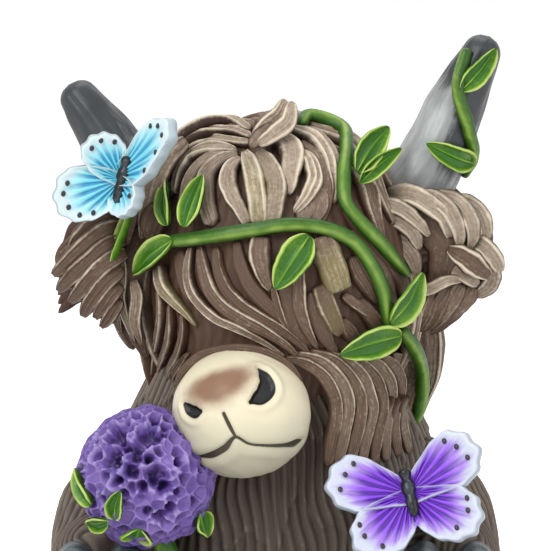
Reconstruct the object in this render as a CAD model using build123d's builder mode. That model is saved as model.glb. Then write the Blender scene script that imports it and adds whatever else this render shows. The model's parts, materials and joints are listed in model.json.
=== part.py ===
from build123d import *
from math import acos, cos, pi, radians, sin, sqrt
import os

# Cow figurine: a young highland cow that sits upright, cast in resin and painted by hand.
# Millimetres, +Z up. The origin is the middle of the underside and the cow faces -Y.
# Left and right are the cow's own, so its left side is +X.

os.makedirs("parts", exist_ok=True)

# Driving sizes of the body, each rise measured up from the top of the felt
felt_thickness = 1.5
felt_margin = 3.0
seat_half_width = 40.0
seat_half_depth = 34.0
belly_half_width = 43.0
belly_half_depth = 36.5
belly_rise = 24.0
chest_half_width = 38.0
chest_half_depth = 32.5
chest_rise = 54.0
shoulder_half_width = 31.0
shoulder_half_depth = 26.5
shoulder_rise = 78.0
collar_half_width = 23.0
collar_half_depth = 21.0
collar_rise = 96.0
chest_lean = 5.0
fur_rib_count = 16
fur_rib_depth = 1.2

# The hollow of the casting, its pour hole and the neck joint
casting_wall = 5.0
cavity_top_wall = 10.0
cavity_top_rise = 66.0
pour_hole_radius = 9.0
pour_rim_radius = 12.0
pour_rim_depth = 2.0
neck_peg_radius = 8.0
neck_peg_height = 14.0
neck_peg_sink = 2.5
glue_clearance = 0.2
overrun = 1.0

# Head: an egg shape whose surface carries the hair, the horns and the ears
head_half_width = 26.5
head_half_depth = 25.0
head_half_height = 33.0
head_above_collar = 12.0
head_forward = 6.0
head_aside = 1.5

# Muzzle
muzzle_half_width = 13.2
muzzle_half_depth = 13.5
muzzle_half_height = 12.4
muzzle_forward = 27.5
muzzle_drop = 20.0
muzzle_aside = 8.0

# Hair locks
lock_half_width = 3.3
lock_half_depth = 2.2
lock_lift = 0.6
mane_lock_half_width = 4.6
curl_lift = 4.5
smallest_lock_volume = 4.0

# Ears
ear_half_width = 11.5
ear_half_depth = 6.5
ear_reach = 16.5

# Horns
left_horn_length = 42.5
right_horn_length = 35.5
horn_root_radius = 8.0
horn_sink = 3.5
horn_peg_radius = 3.0
horn_peg_length = 7.0
horn_peg_overlap = 7.0

# Legs and hooves
foreleg_radius = 11.5
fore_hoof_length = 12.0
fore_hoof_radius = 9.4
thigh_half_width = 15.0
thigh_half_depth = 23.0
thigh_half_height = 17.0
hind_foot_radius = 9.5
hind_foot_length = 30.0
hind_hoof_length = 11.0
hoof_cleft_width = 1.4
hoof_cleft_height = 24.0

# Tail
tail_radius = 4.0
tuft_half_width = 6.5
tuft_half_depth = 4.8

# Green stems and leaves
vine_radius = 1.4
leaf_half_depth = 0.7
leaf_lift = 3.6
small_leaf_half_width = 1.6
middle_leaf_half_width = 2.5
large_leaf_half_width = 3.2

# Butterflies
blue_span = 27.0
purple_span = 28.5
wing_plate = 2.4
wing_boss_sink = 1.2
butterfly_body_length = 9.6
butterfly_body_radius = 1.3
butterfly_boss_radius = 4.0
blue_boss_length = 14.0
purple_boss_length = 16.0
blue_stand_off = 13.0
purple_forward = 4.5
purple_rise = 17.9
purple_aside = 7.9

# Flower cluster, its stem and its leaves
cluster_half_width = 10.0
cluster_half_depth = 9.5
cluster_half_height = 10.5
cluster_forward = 35.5
cluster_height = 77.5
cluster_aside = 24.5
floret_radius = 3.8
floret_count = 22
pit_radius = 1.5
stem_radius = 2.4

# Places that follow from the driving sizes
head_height = felt_thickness + collar_rise + head_above_collar
head_bottom = head_height - head_half_height
head_centre = Vector(head_aside, -head_forward, head_height)
vine_lift = lock_lift + lock_half_depth


def on_head(lon, lat, lift):
    # A point over the head: lon turns from the face towards +X, lat climbs to the crown
    east = radians(lon)
    north = radians(lat)
    return head_centre + Vector(
        (head_half_width + lift) * cos(north) * sin(east),
        -(head_half_depth + lift) * cos(north) * cos(east),
        (head_half_height + lift) * sin(north),
    )


def from_head(point):
    return (point - head_centre).normalized()


def from_front(point):
    return Vector(0, -1, 0)


def from_axis(point):
    return Vector(point.X, point.Y, 0).normalized()


def on_body(across_share, forward_share, rise_share):
    # A point beside the body, in shares of the chest's half sizes and the shoulder's rise
    return Vector(
        chest_half_width * across_share,
        -chest_half_depth * forward_share,
        felt_thickness + shoulder_rise * rise_share,
    )


def ellipsoid(centre, half_width, half_depth, half_height):
    ball = Sphere(half_width, mode=Mode.PRIVATE)
    return scale(ball, by=(1, half_depth / half_width, half_height / half_width)).moved(Location(centre))


def near(shape, carriers):
    # The carriers whose boxes meet the box of the shape
    box = shape.bounding_box()
    return [carrier for carrier in carriers if box.overlaps(carrier.bounding_box())]


def strand(points, outward, half_width, half_depth, fullness_shares):
    # A loft through flat ovals along a curve, each oval facing the way that outward gives
    spine = Edge.make_spline(points)
    last = len(fullness_shares) - 1
    with BuildPart() as lofted:
        for number, share in enumerate(fullness_shares):
            here = spine.position_at(number / last)
            along = spine.tangent_at(number / last)
            across = along.cross(outward(here)).normalized()
            with BuildSketch(Plane(origin=here, x_dir=across, z_dir=along)):
                Ellipse(half_width * share, half_depth * share)
        loft()
    return lofted.part


def lofted_ovals(sections, rib_depth):
    # Sections are (height, half width, half depth), each leaning forward with its height.
    # The broad ribs of the coat stand between valleys that are rib_depth deep.
    point_count = fur_rib_count * 2
    with BuildPart() as lofted:
        for height, half_width, half_depth in sections:
            lean = chest_lean * (height - felt_thickness) / collar_rise
            outline = []
            for number in range(point_count):
                turn = 2 * pi * number / point_count
                valley = rib_depth * (number % 2)
                outline.append(((half_width - valley) * cos(turn), (half_depth - valley) * sin(turn)))
            with BuildSketch(Plane(origin=(0, -lean, height), x_dir=(1, 0, 0), z_dir=(0, 0, 1))):
                with BuildLine():
                    Spline(outline, periodic=True)
                make_face()
        loft()
    return lofted.part


# Solid shapes that several pieces are cut by, so that faces meet and nothing overlaps
head_egg = ellipsoid(head_centre, head_half_width, head_half_depth, head_half_height)
torso_sections = [
    (felt_thickness, seat_half_width, seat_half_depth),
    (felt_thickness + belly_rise, belly_half_width, belly_half_depth),
    (felt_thickness + chest_rise, chest_half_width, chest_half_depth),
    (felt_thickness + shoulder_rise, shoulder_half_width, shoulder_half_depth),
    (felt_thickness + collar_rise, collar_half_width, collar_half_depth),
]
torso = lofted_ovals(torso_sections, fur_rib_depth)


# Felt pad under the seat
with BuildPart() as felt_base:
    with BuildSketch():
        Ellipse(seat_half_width - felt_margin, seat_half_depth - felt_margin)
    extrude(amount=felt_thickness)
felt_base.part.label = "felt_base"
export_step(felt_base.part, "parts/felt_base.step")


# Body casting: a hollow torso with a dish for the head, a neck peg and a pour hole
cavity_sections = [
    (felt_thickness + casting_wall, seat_half_width - casting_wall, seat_half_depth - casting_wall),
    (felt_thickness + belly_rise, belly_half_width - casting_wall, belly_half_depth - casting_wall),
    (felt_thickness + chest_rise, chest_half_width - casting_wall, chest_half_depth - casting_wall),
    (
        felt_thickness + cavity_top_rise,
        shoulder_half_width - cavity_top_wall,
        shoulder_half_depth - cavity_top_wall,
    ),
]
cavity = lofted_ovals(cavity_sections, 0)
with BuildPart() as body_casting:
    add(torso)
    add(cavity, mode=Mode.SUBTRACT)
    add(head_egg, mode=Mode.SUBTRACT)
    with BuildSketch(Plane(origin=(head_aside, -head_forward, head_bottom - neck_peg_sink))):
        Circle(neck_peg_radius)
    extrude(amount=neck_peg_height)
    with BuildSketch(Plane.XY.offset(felt_thickness)):
        Circle(pour_hole_radius)
    extrude(amount=casting_wall + overrun, mode=Mode.SUBTRACT)
    with BuildSketch(Plane.XY.offset(felt_thickness)):
        Circle(pour_rim_radius)
    extrude(amount=pour_rim_depth, mode=Mode.SUBTRACT)
body_casting.part.label = "body_casting"
export_step(body_casting.part, "parts/body_casting.step")


# Plug in the pour hole, with a flange that seats in the rim
with BuildPart() as pour_plug:
    with BuildSketch(Plane.XY.offset(felt_thickness)):
        Circle(pour_rim_radius - glue_clearance)
    extrude(amount=pour_rim_depth)
    with BuildSketch(Plane.XY.offset(felt_thickness + pour_rim_depth)):
        Circle(pour_hole_radius - glue_clearance)
    extrude(amount=casting_wall - pour_rim_depth)
pour_plug.part.label = "pour_plug"
export_step(pour_plug.part, "parts/pour_plug.step")


# Horns: bent cones whose pegs go into the head
horn_bow_shares = [(0, 0), (0.3, 0.045), (0.65, 0.02), (1, 0)]
horn_fullness_shares = [1, 0.94, 0.76, 0.64, 0.55, 0.36]
horn_angles = {"left": (99, 26, 28.6, 6.8), "right": (-99, 26, -39.5, -5)}
horn_lengths = {"left": left_horn_length, "right": right_horn_length}
horn_spines = {}
horn_solids = {}
horn_sockets = {}
for side, (lon, lat, spread, lean) in horn_angles.items():
    root = on_head(lon, lat, -horn_sink)
    up = Vector(sin(radians(spread)) * cos(radians(lean)), -sin(radians(lean)), cos(radians(spread)))
    out = Vector(cos(radians(spread)), 0, -sin(radians(spread)))
    bend = out if lon > 0 else -out
    length = horn_lengths[side]
    points = [root + up * length * rise + bend * length * bow for rise, bow in horn_bow_shares]
    horn_spines[side] = Edge.make_spline(points)
    cone = strand(points, from_front, horn_root_radius, horn_root_radius, horn_fullness_shares)
    first = horn_spines[side].tangent_at(0)
    peg_plane = Plane(origin=root - first * horn_peg_length, z_dir=first)
    with BuildPart() as horn:
        add(cone)
        add(head_egg, mode=Mode.SUBTRACT)
        with BuildSketch(peg_plane):
            Circle(horn_peg_radius)
        extrude(amount=horn_peg_length + horn_peg_overlap)
    with BuildPart() as socket:
        with BuildSketch(peg_plane.offset(-glue_clearance)):
            Circle(horn_peg_radius + glue_clearance)
        extrude(amount=horn_peg_length + horn_peg_overlap)
    horn_solids[side] = horn.part
    horn_sockets[side] = socket.part
    horn.part.label = f"{side}_horn"
    export_step(horn.part, f"parts/{side}_horn.step")


# Head casting, with the sockets of the neck peg and of both horn pegs
with BuildPart() as head_casting:
    add(head_egg)
    add(list(horn_sockets.values()), mode=Mode.SUBTRACT)
    socket_bottom = Plane(origin=(head_aside, -head_forward, head_bottom - neck_peg_sink))
    with BuildSketch(socket_bottom):
        Circle(neck_peg_radius + glue_clearance)
    extrude(amount=neck_peg_height + glue_clearance, mode=Mode.SUBTRACT)
head_casting.part.label = "head_casting"
export_step(head_casting.part, "parts/head_casting.step")


# Muzzle, a smooth cap on the front of the head
muzzle_centre = head_centre + Vector(-muzzle_aside, -muzzle_forward, -muzzle_drop)
muzzle_egg = ellipsoid(muzzle_centre, muzzle_half_width, muzzle_half_depth, muzzle_half_height)
with BuildPart() as muzzle:
    add(muzzle_egg)
    add([head_egg, torso], mode=Mode.SUBTRACT)
muzzle.part.label = "muzzle"
export_step(muzzle.part, "parts/muzzle.step")


def locks(table, half_width, fullness_shares):
    # One strand for each row of the table: a width share and its angles over the head
    made = []
    for width_share, path in table:
        points = [on_head(lon, lat, lock_lift) for lon, lat in path]
        shape = strand(points, from_head, half_width * width_share, lock_half_depth, fullness_shares)
        made.append(shape)
    return made


def side_by_side(strands, carriers):
    # Each lock is cut by what carries it and by the locks before it, and scraps are dropped
    kept = []
    for number, shape in enumerate(strands):
        with BuildPart() as lock:
            add(shape)
            for carrier in near(shape, carriers + strands[:number]):
                add(carrier, mode=Mode.SUBTRACT)
        kept += [solid for solid in lock.part.solids() if solid.volume > smallest_lock_volume]
    return Compound(kept)


# Forelock: flat locks that fall from a whorl on the crown, and the fringe below them
lock_shares = [0.55, 0.95, 1, 0.8, 0.3]
forelock_shares = [
    (1.1, [(-11, 61), (6, 59), (10, 48), (6, 35)]),
    (1.1, [(1, 55), (16, 50), (16, 40), (10, 30)]),
    (1, [(-15, 57), (-11, 44), (-9, 35), (-9, 26)]),
    (1.1, [(-20, 56), (-30, 48), (-26, 37), (-17, 27)]),
    (1.1, [(-26, 57), (-44, 49), (-42, 39), (-32, 28)]),
    (1.1, [(-30, 58), (-60, 50), (-60, 40), (-54, 28)]),
    (1.1, [(-36, 61), (-84, 53), (-84, 41), (-80, 30)]),
    (1.1, [(-39, 66), (-92, 62), (-94, 48), (-93, 34)]),
    (1.1, [(15, 65), (28, 55), (27, 40), (20, 29)]),
    (1.1, [(20, 69), (45, 54), (37, 39), (39, 23)]),
    (1.1, [(40, 72), (66, 58), (58, 42), (60, 26)]),
    (1, [(-75, 21), (-88, 8), (-86, -2), (-85, -12)]),
    (1, [(-60, 15), (-64, 2), (-70, -8), (-73, -19)]),
    (1, [(-54, 12), (-48, 0), (-36, -10), (-38, -22)]),
    (1, [(-45, 15), (-42, 4), (-34, -6), (-20, -13)]),
    (0.9, [(-35, 17), (-35, 5), (-23, -9), (-3, -17), (15, -27)]),
    (0.9, [(-25, 18), (-24, 5), (-13, -7), (6, -16), (25, -29)]),
    (0.9, [(-17, 18), (-15, 6), (-3, -6), (14, -15)]),
    (0.9, [(-8, 19), (-8, 10), (-3, 3), (5, -6)]),
    (0.9, [(6, 20), (6, 7), (8, -4), (15, -13)]),
    (1, [(19, 21), (20, 14), (20, 7), (22, -2)]),
    (1, [(30, 19), (28, 12), (31, 4), (32, -6)]),
]
fringe = locks(forelock_shares, lock_half_width, lock_shares)
forelock = side_by_side(fringe, [head_egg, torso, muzzle_egg] + list(horn_solids.values()))
forelock.label = "forelock"
export_step(forelock, "parts/forelock.step")


# Crown curl, the short tuft that stands up from the whorl
curl_path_shares = [(-17, 60, 0.15), (-6, 72, 0.5), (30, 82, 1)]
curl_points = [on_head(lon, lat, curl_lift * share) for lon, lat, share in curl_path_shares]
curl = strand(curl_points, from_head, lock_half_width, lock_half_depth, lock_shares)
with BuildPart() as crown_curl:
    add(curl)
    for carrier in near(curl, [head_egg] + fringe):
        add(carrier, mode=Mode.SUBTRACT)
crown_curl.part.label = "crown_curl"
export_step(crown_curl.part, "parts/crown_curl.step")


# Back mane: broad locks from the crown down the back of the head
mane_fullness_shares = [0.35, 0.72, 0.95, 1, 0.6]
mane_lons = range(119, 246, 21)
mane_shares = [(1, [(lon, 62), (lon, 40), (lon, 12), (lon, -18)]) for lon in mane_lons]
mane = locks(mane_shares, mane_lock_half_width, mane_fullness_shares)
back_mane = side_by_side(mane, [head_egg, torso] + list(horn_solids.values()) + fringe)
back_mane.label = "back_mane"
export_step(back_mane, "parts/back_mane.step")


# Cheek locks below each ear
cheek_shares = {
    "left": [
        (1, [(49, 8), (50, -4), (48, -17), (42, -30)]),
        (1, [(65, 8), (67, -4), (65, -17), (60, -31)]),
        (1, [(81, 4), (83, -8), (81, -20), (78, -33)]),
        (1, [(97, 2), (98, -10), (97, -22), (96, -34)]),
    ],
    "right": [
        (0.9, [(-79, -25), (-78, -30), (-76, -36)]),
        (1, [(-102, 6), (-104, -6), (-103, -18), (-101, -30)]),
    ],
}
cheek_solids = {}
for side, table in cheek_shares.items():
    cheek_solids[side] = locks(table, lock_half_width, lock_shares)
    cheek = side_by_side(cheek_solids[side], [head_egg, torso] + fringe + mane)
    cheek.label = f"{side}_cheek_locks"
    export_step(cheek, f"parts/{side}_cheek_locks.step")


# Ears, held out level and drooping at their ends
ear_fullness_shares = [0.75, 1, 1, 0.6]
ear_rise_shares = [(79, 24, -0.2), (82, 23, 0.35), (88, 13, 0.8), (90, 4, 1)]
ears = {}
for side, sign in (("left", 1), ("right", -1)):
    points = [on_head(sign * lon, lat, ear_reach * share) for lon, lat, share in ear_rise_shares]
    flap = strand(points, from_front, ear_half_width, ear_half_depth, ear_fullness_shares)
    carriers = [head_egg, horn_solids[side]] + fringe + cheek_solids[side] + mane
    with BuildPart() as ear:
        add(flap)
        for carrier in near(flap, carriers):
            add(carrier, mode=Mode.SUBTRACT)
    ears[side] = ear.part
    ear.part.label = f"{side}_ear"
    export_step(ear.part, f"parts/{side}_ear.step")


# Forelegs, reaching forward from the shoulders, each with a cloven hoof
foreleg_path_shares = [(0.5, 0.05, 0.96), (0.82, 0.32, 0.82), (0.9, 0.72, 0.735), (0.88, 1.03, 0.705)]
foreleg_fullness_shares = [0.5, 0.95, 1, 0.86, 0.78]
fore_hoof_shares = [(0, 0.93), (0.5, 1), (0.9, 0.86), (1, 0.62)]
cleft_start_share = 0.5
forelegs = {}
fore_hooves = {}
wrists = {}
for side, sign in (("left", 1), ("right", -1)):
    points = [on_body(sign * across, ahead, rise) for across, ahead, rise in foreleg_path_shares]
    limb = strand(points, from_front, foreleg_radius, foreleg_radius, foreleg_fullness_shares)
    spine = Edge.make_spline(points)
    wrists[side] = spine.position_at(1)
    along = spine.tangent_at(1)
    with BuildPart() as foreleg:
        add(limb)
        for carrier in near(limb, [torso, head_egg]):
            add(carrier, mode=Mode.SUBTRACT)
    hoof_plane = Plane(origin=wrists[side], x_dir=(1, 0, 0), z_dir=along)
    with BuildPart() as hoof:
        for rise, share in fore_hoof_shares:
            with BuildSketch(hoof_plane.offset(fore_hoof_length * rise)):
                Circle(fore_hoof_radius * share)
        loft()
        with BuildSketch(hoof_plane.offset(fore_hoof_length * cleft_start_share)):
            Rectangle(hoof_cleft_width, hoof_cleft_height)
        extrude(amount=fore_hoof_length, mode=Mode.SUBTRACT)
    forelegs[side] = foreleg.part
    fore_hooves[side] = hoof.part
    foreleg.part.label = f"{side}_foreleg"
    export_step(foreleg.part, f"parts/{side}_foreleg.step")
    hoof.part.label = f"{side}_fore_hoof"
    export_step(hoof.part, f"parts/{side}_fore_hoof.step")


# Hind legs: a thigh and a foot that points forward, both flat underneath
thigh_place_shares = (0.82, 0.18)
shank_start_share = 0.33
hind_foot_shares = [(0, 1.3), (0.35, 1.16), (0.75, 1), (1, 0.97)]
hind_hoof_shares = [(0, 0.97), (0.5, 1), (0.9, 0.86), (1, 0.62)]
thighs = {}
for side, sign in (("left", 1), ("right", -1)):
    across, ahead = thigh_place_shares
    knee = Vector(sign * chest_half_width * across, -chest_half_depth * ahead, felt_thickness)
    ham = ellipsoid(
        knee + Vector(0, 0, thigh_half_height), thigh_half_width, thigh_half_depth, thigh_half_height
    )
    foot_height = felt_thickness + hind_foot_radius
    foot_plane = Plane(
        origin=(knee.X, knee.Y - thigh_half_depth * shank_start_share, foot_height),
        x_dir=(1, 0, 0),
        z_dir=(0, -1, 0),
    )
    with BuildPart() as shank:
        for rise, share in hind_foot_shares:
            seat = foot_plane.offset(hind_foot_length * rise)
            # Every section rests on the level of the felt's top, however wide it is
            seat = Plane(seat.origin + Vector(0, 0, hind_foot_radius * (share - 1)), (1, 0, 0), (0, -1, 0))
            with BuildSketch(seat):
                Circle(hind_foot_radius * share)
        loft()
    with BuildPart() as hind_leg:
        add(ham)
        add(shank.part)
        add(torso, mode=Mode.SUBTRACT)
    with BuildPart() as hoof:
        for rise, share in hind_hoof_shares:
            seat = foot_plane.offset(hind_foot_length + hind_hoof_length * rise)
            seat = Plane(seat.origin + Vector(0, 0, hind_foot_radius * (share - 1)), (1, 0, 0), (0, -1, 0))
            with BuildSketch(seat):
                Circle(hind_foot_radius * share)
        loft()
        with BuildSketch(foot_plane.offset(hind_foot_length + hind_hoof_length * cleft_start_share)):
            Rectangle(hoof_cleft_width, hoof_cleft_height)
        extrude(amount=hind_hoof_length, mode=Mode.SUBTRACT)
    thighs[side] = hind_leg.part
    hind_leg.part.label = f"{side}_hind_leg"
    export_step(hind_leg.part, f"parts/{side}_hind_leg.step")
    hoof.part.label = f"{side}_hind_hoof"
    export_step(hoof.part, f"parts/{side}_hind_hoof.step")


# Tail, laid round the cow's left side, and the tuft at its end
tail_path_shares = [(-0.1, -0.95, 0.3), (0.14, -1.2, 0.2), (0.5, -1.14, 0.12), (0.82, -0.94, 0.11)]
tuft_path_shares = [(0.82, -0.94, 0.11), (0.98, -0.8, 0.11), (1.1, -0.62, 0.12)]
tail_fullness_shares = [1, 0.95, 0.9, 0.85]
tuft_fullness_shares = [0.6, 1, 0.9, 0.4]
tail_points = [on_body(across, ahead, rise) for across, ahead, rise in tail_path_shares]
tuft_points = [on_body(across, ahead, rise) for across, ahead, rise in tuft_path_shares]
tail_tube = strand(tail_points, from_axis, tail_radius, tail_radius, tail_fullness_shares)
tuft_shape = strand(tuft_points, from_axis, tuft_half_width, tuft_half_depth, tuft_fullness_shares)
with BuildPart() as tail:
    add(tail_tube)
    add(torso, mode=Mode.SUBTRACT)
tail.part.label = "tail"
export_step(tail.part, "parts/tail.step")
with BuildPart() as tail_tuft:
    add(tuft_shape)
    for carrier in near(tuft_shape, [torso, tail.part, thighs["left"]]):
        add(carrier, mode=Mode.SUBTRACT)
tail_tuft.part.label = "tail_tuft"
export_step(tail_tuft.part, "parts/tail_tuft.step")


# Green stems that lie on the hair and wind round the left horn
def on_horn(along_share, turn, lift):
    # A point over the left horn: turn goes from the front towards the cow's left
    spine = horn_spines["left"]
    centre = spine.position_at(along_share)
    along = spine.tangent_at(along_share)
    outward = along.cross(Vector(0, -1, 0)).normalized() * -1
    front = outward.cross(along).normalized()
    place = along_share * (len(horn_fullness_shares) - 1)
    lower = min(int(place), len(horn_fullness_shares) - 2)
    mix = place - lower
    share = horn_fullness_shares[lower] * (1 - mix) + horn_fullness_shares[lower + 1] * mix
    reach = horn_root_radius * share + lift
    return centre + (front * cos(radians(turn)) + outward * sin(radians(turn))) * reach


brow_vine_angles = [
    (-56, 18), (-34, 21), (-14, 24), (3, 26), (20, 24), (29, 20), (36, 12), (41, 3), (42, -5),
]
crown_vine_angles = [
    (19, 70), (52, 77), (70, 66), (45, 54), (32, 42), (29, 33), (34, 26), (42, 19), (50, 12), (57, 7),
]
cheek_vine_shares = [(52, -9, 1), (66, -18, 1.3), (76, -26, 1.8), (79, -33, 2.4), (78, -40, 3)]
horn_vine_shares = [(0.92, -45), (0.74, -15), (0.6, 30), (0.46, 75), (0.36, 95)]
horn_vine_lift_share = 0.5
brow_points = [on_head(lon, lat, vine_lift) for lon, lat in brow_vine_angles]
crown_points = [on_head(lon, lat, vine_lift) for lon, lat in crown_vine_angles]
cheek_points = [on_head(lon, lat, vine_lift * share) for lon, lat, share in cheek_vine_shares]
horn_vine_lift = vine_radius * horn_vine_lift_share
horn_points = [on_horn(share, turn, horn_vine_lift) for share, turn in horn_vine_shares]
head_carriers = [head_egg, torso, ears["left"], curl] + fringe + cheek_solids["left"] + mane
vine_paths = {
    "crown_vine": (crown_points, from_head, head_carriers),
    "brow_vine": (brow_points, from_head, head_carriers),
    "cheek_vine": (cheek_points, from_head, head_carriers),
    "horn_vine": (horn_points, from_front, [horn_solids["left"]]),
}
vine_fullness_shares = [0.8] + [1] * 9 + [0.7]
vines = {}
for name, (points, outward, carriers) in vine_paths.items():
    tube = strand(points, outward, vine_radius, vine_radius, vine_fullness_shares)
    with BuildPart() as vine:
        add(tube)
        for carrier in near(tube, carriers + list(vines.values())):
            add(carrier, mode=Mode.SUBTRACT)
    vines[name] = vine.part
    vine.part.label = name
    export_step(vine.part, f"parts/{name}.step")


# Leaves on the hair, each from its foot to its tip, with its half width
leaf_fullness_shares = [0.25, 0.85, 1, 0.75, 0.12]
head_leaf_shares = {
    "brow_leaf_low": (middle_leaf_half_width, [(-50, 18, 1.2), (-62, 12, 1.2), (-76, 6, 1.2)]),
    "brow_leaf_upper": (middle_leaf_half_width, [(-42, 23, 1.2), (-41, 31, 1.2), (-42, 40, 1.2)]),
    "brow_leaf_side": (small_leaf_half_width, [(-54, 24, 1.2), (-62, 30, 1.2), (-70, 36, 1.2)]),
    "temple_leaf": (small_leaf_half_width, [(-70, 25, 2.3), (-71, 17, 2.4), (-73, 8, 2.6)]),
    "forehead_leaf": (large_leaf_half_width, [(10, 22, 1.2), (3, 14, 1.2), (-3, 7, 1.2)]),
    "cheek_leaf_upper": (large_leaf_half_width, [(42, -6, 1.2), (50, 0, 1.4), (58, 7, 1.6)]),
    "cheek_leaf_lower": (large_leaf_half_width, [(47, -10, 1.3), (35, -11, 1.2), (22, -14, 1.2)]),
    "crown_leaf_upper": (middle_leaf_half_width, [(38, 42, 1.2), (58, 50, 1.6), (74, 52, 2.4)]),
    "crown_leaf_lower": (small_leaf_half_width, [(37, 38, 1.2), (54, 43, 1.6), (66, 44, 2.4)]),
}
leaf_carriers = head_carriers + list(horn_solids.values()) + [ears["right"]]
leaves = {}
for name, (half_width, path) in head_leaf_shares.items():
    points = [on_head(lon, lat, leaf_lift * share) for lon, lat, share in path]
    blade = strand(points, from_head, half_width, leaf_half_depth, leaf_fullness_shares)
    with BuildPart() as leaf:
        add(blade)
        for carrier in near(blade, leaf_carriers + list(vines.values()) + list(leaves.values())):
            add(carrier, mode=Mode.SUBTRACT)
    leaves[name] = leaf.part
    leaf.part.label = name
    export_step(leaf.part, f"parts/{name}.step")

horn_leaf_shares = {
    "horn_leaf_low": [(0.44, 70), (0.45, 30), (0.46, -20)],
    "horn_leaf_tip": [(0.74, -5), (0.86, 8), (0.98, 20)],
}
for name, path in horn_leaf_shares.items():
    points = [on_horn(share, turn, vine_radius) for share, turn in path]
    centre = horn_spines["left"].position_at(path[1][0])

    def from_horn(point):
        return (point - centre).normalized()

    blade = strand(points, from_horn, middle_leaf_half_width, leaf_half_depth, leaf_fullness_shares)
    with BuildPart() as leaf:
        add(blade)
        for carrier in near(blade, [horn_solids["left"]] + list(vines.values()) + list(leaves.values())):
            add(carrier, mode=Mode.SUBTRACT)
    leaves[name] = leaf.part
    leaf.part.label = name
    export_step(leaf.part, f"parts/{name}.step")


# Flower cluster: florets over a core, with a pit in each, in front of the right shoulder
cluster_centre = Vector(-cluster_aside, -cluster_forward, cluster_height)
cluster_core = ellipsoid(cluster_centre, cluster_half_width, cluster_half_depth, cluster_half_height)


def on_cluster(lon, lat, lift):
    # A point over the core of the cluster, with its angles as on the head
    east = radians(lon)
    north = radians(lat)
    return cluster_centre + Vector(
        (cluster_half_width + lift) * cos(north) * sin(east),
        -(cluster_half_depth + lift) * cos(north) * cos(east),
        (cluster_half_height + lift) * sin(north),
    )


def from_cluster(point):
    return (point - cluster_centre).normalized()


# The florets stand on a spiral that turns by the golden angle
golden_turn = 180 * (3 - sqrt(5))
floret_sink_share = 0.3
floret_angles = []
for number in range(floret_count):
    climb = 1 - (2 * number + 1) / floret_count
    floret_angles.append((golden_turn * number, 90 - acos(climb) * 180 / pi))
cluster_carriers = [torso, head_egg, muzzle_egg, forelegs["right"], fore_hooves["right"]]
with BuildPart() as floret:
    Sphere(floret_radius)
    with Locations((0, floret_radius, 0)):
        Sphere(pit_radius, mode=Mode.SUBTRACT)
with BuildPart() as flower_cluster:
    add(cluster_core)
    for lon, lat in floret_angles:
        here = on_cluster(lon, lat, -floret_radius * floret_sink_share)
        level = from_cluster(here).cross(Vector(0, 0, 1)).normalized()
        # The floret's own Y, and with it its pit, points away from the cluster
        seat = Plane(origin=here, x_dir=from_cluster(here).cross(level), z_dir=level)
        add(floret.part.moved(seat.location))
    for carrier in near(flower_cluster.part, cluster_carriers + fringe):
        add(carrier, mode=Mode.SUBTRACT)
flower_cluster.part.label = "flower_cluster"
export_step(flower_cluster.part, "parts/flower_cluster.step")


# Stem of the cluster, laid down the chest between the forelegs
stem_path_shares = [(-0.6, 1.12, 0.86), (-0.5, 1.2, 0.74), (-0.36, 1.2, 0.6), (-0.22, 1.16, 0.46)]
stem_points = [on_body(across, ahead, rise) for across, ahead, rise in stem_path_shares]
stem_fullness_shares = [1, 1, 1, 1, 0.6]
stem_tube = strand(stem_points, from_front, stem_radius, stem_radius, stem_fullness_shares)
stem_carriers = [torso, flower_cluster.part, forelegs["right"], fore_hooves["right"]]
with BuildPart() as flower_stem:
    add(stem_tube)
    for carrier in near(stem_tube, stem_carriers):
        add(carrier, mode=Mode.SUBTRACT)
flower_stem.part.label = "flower_stem"
export_step(flower_stem.part, "parts/flower_stem.step")


# Leaves round the foot of the cluster, from foot to tip, with lifts in shares of a floret
bouquet_leaf_shares = {
    "bouquet_leaf_upright": (small_leaf_half_width, [(-26, -24, 0.95), (-23, -12, 1.05), (-17, 0, 1.05)]),
    "bouquet_leaf_outer": (small_leaf_half_width, [(-34, -27, 0.95), (-50, -31, 1.05), (-66, -33, 1.1)]),
    "bouquet_leaf_round": (large_leaf_half_width, [(-16, -56, 0.55), (-9, -44, 0.85), (-4, -32, 0.95)]),
    "bouquet_leaf_edge": (middle_leaf_half_width, [(-52, -16, 0.8), (-66, -4, 0.9), (-80, 8, 0.95)]),
    "bouquet_leaf_inner": (middle_leaf_half_width, [(66, -28, 0.55), (73, -35, 0.95), (78, -42, 1.6)]),
}
bouquet_carriers = [torso, flower_cluster.part, flower_stem.part, forelegs["right"], fore_hooves["right"]]
for name, (half_width, path) in bouquet_leaf_shares.items():
    points = [on_cluster(lon, lat, floret_radius * share) for lon, lat, share in path]
    blade = strand(points, from_cluster, half_width, leaf_half_depth, leaf_fullness_shares)
    with BuildPart() as leaf:
        add(blade)
        for carrier in near(blade, bouquet_carriers):
            add(carrier, mode=Mode.SUBTRACT)
    bouquet_carriers.append(leaf.part)
    leaf.part.label = name
    export_step(leaf.part, f"parts/{name}.step")


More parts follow.
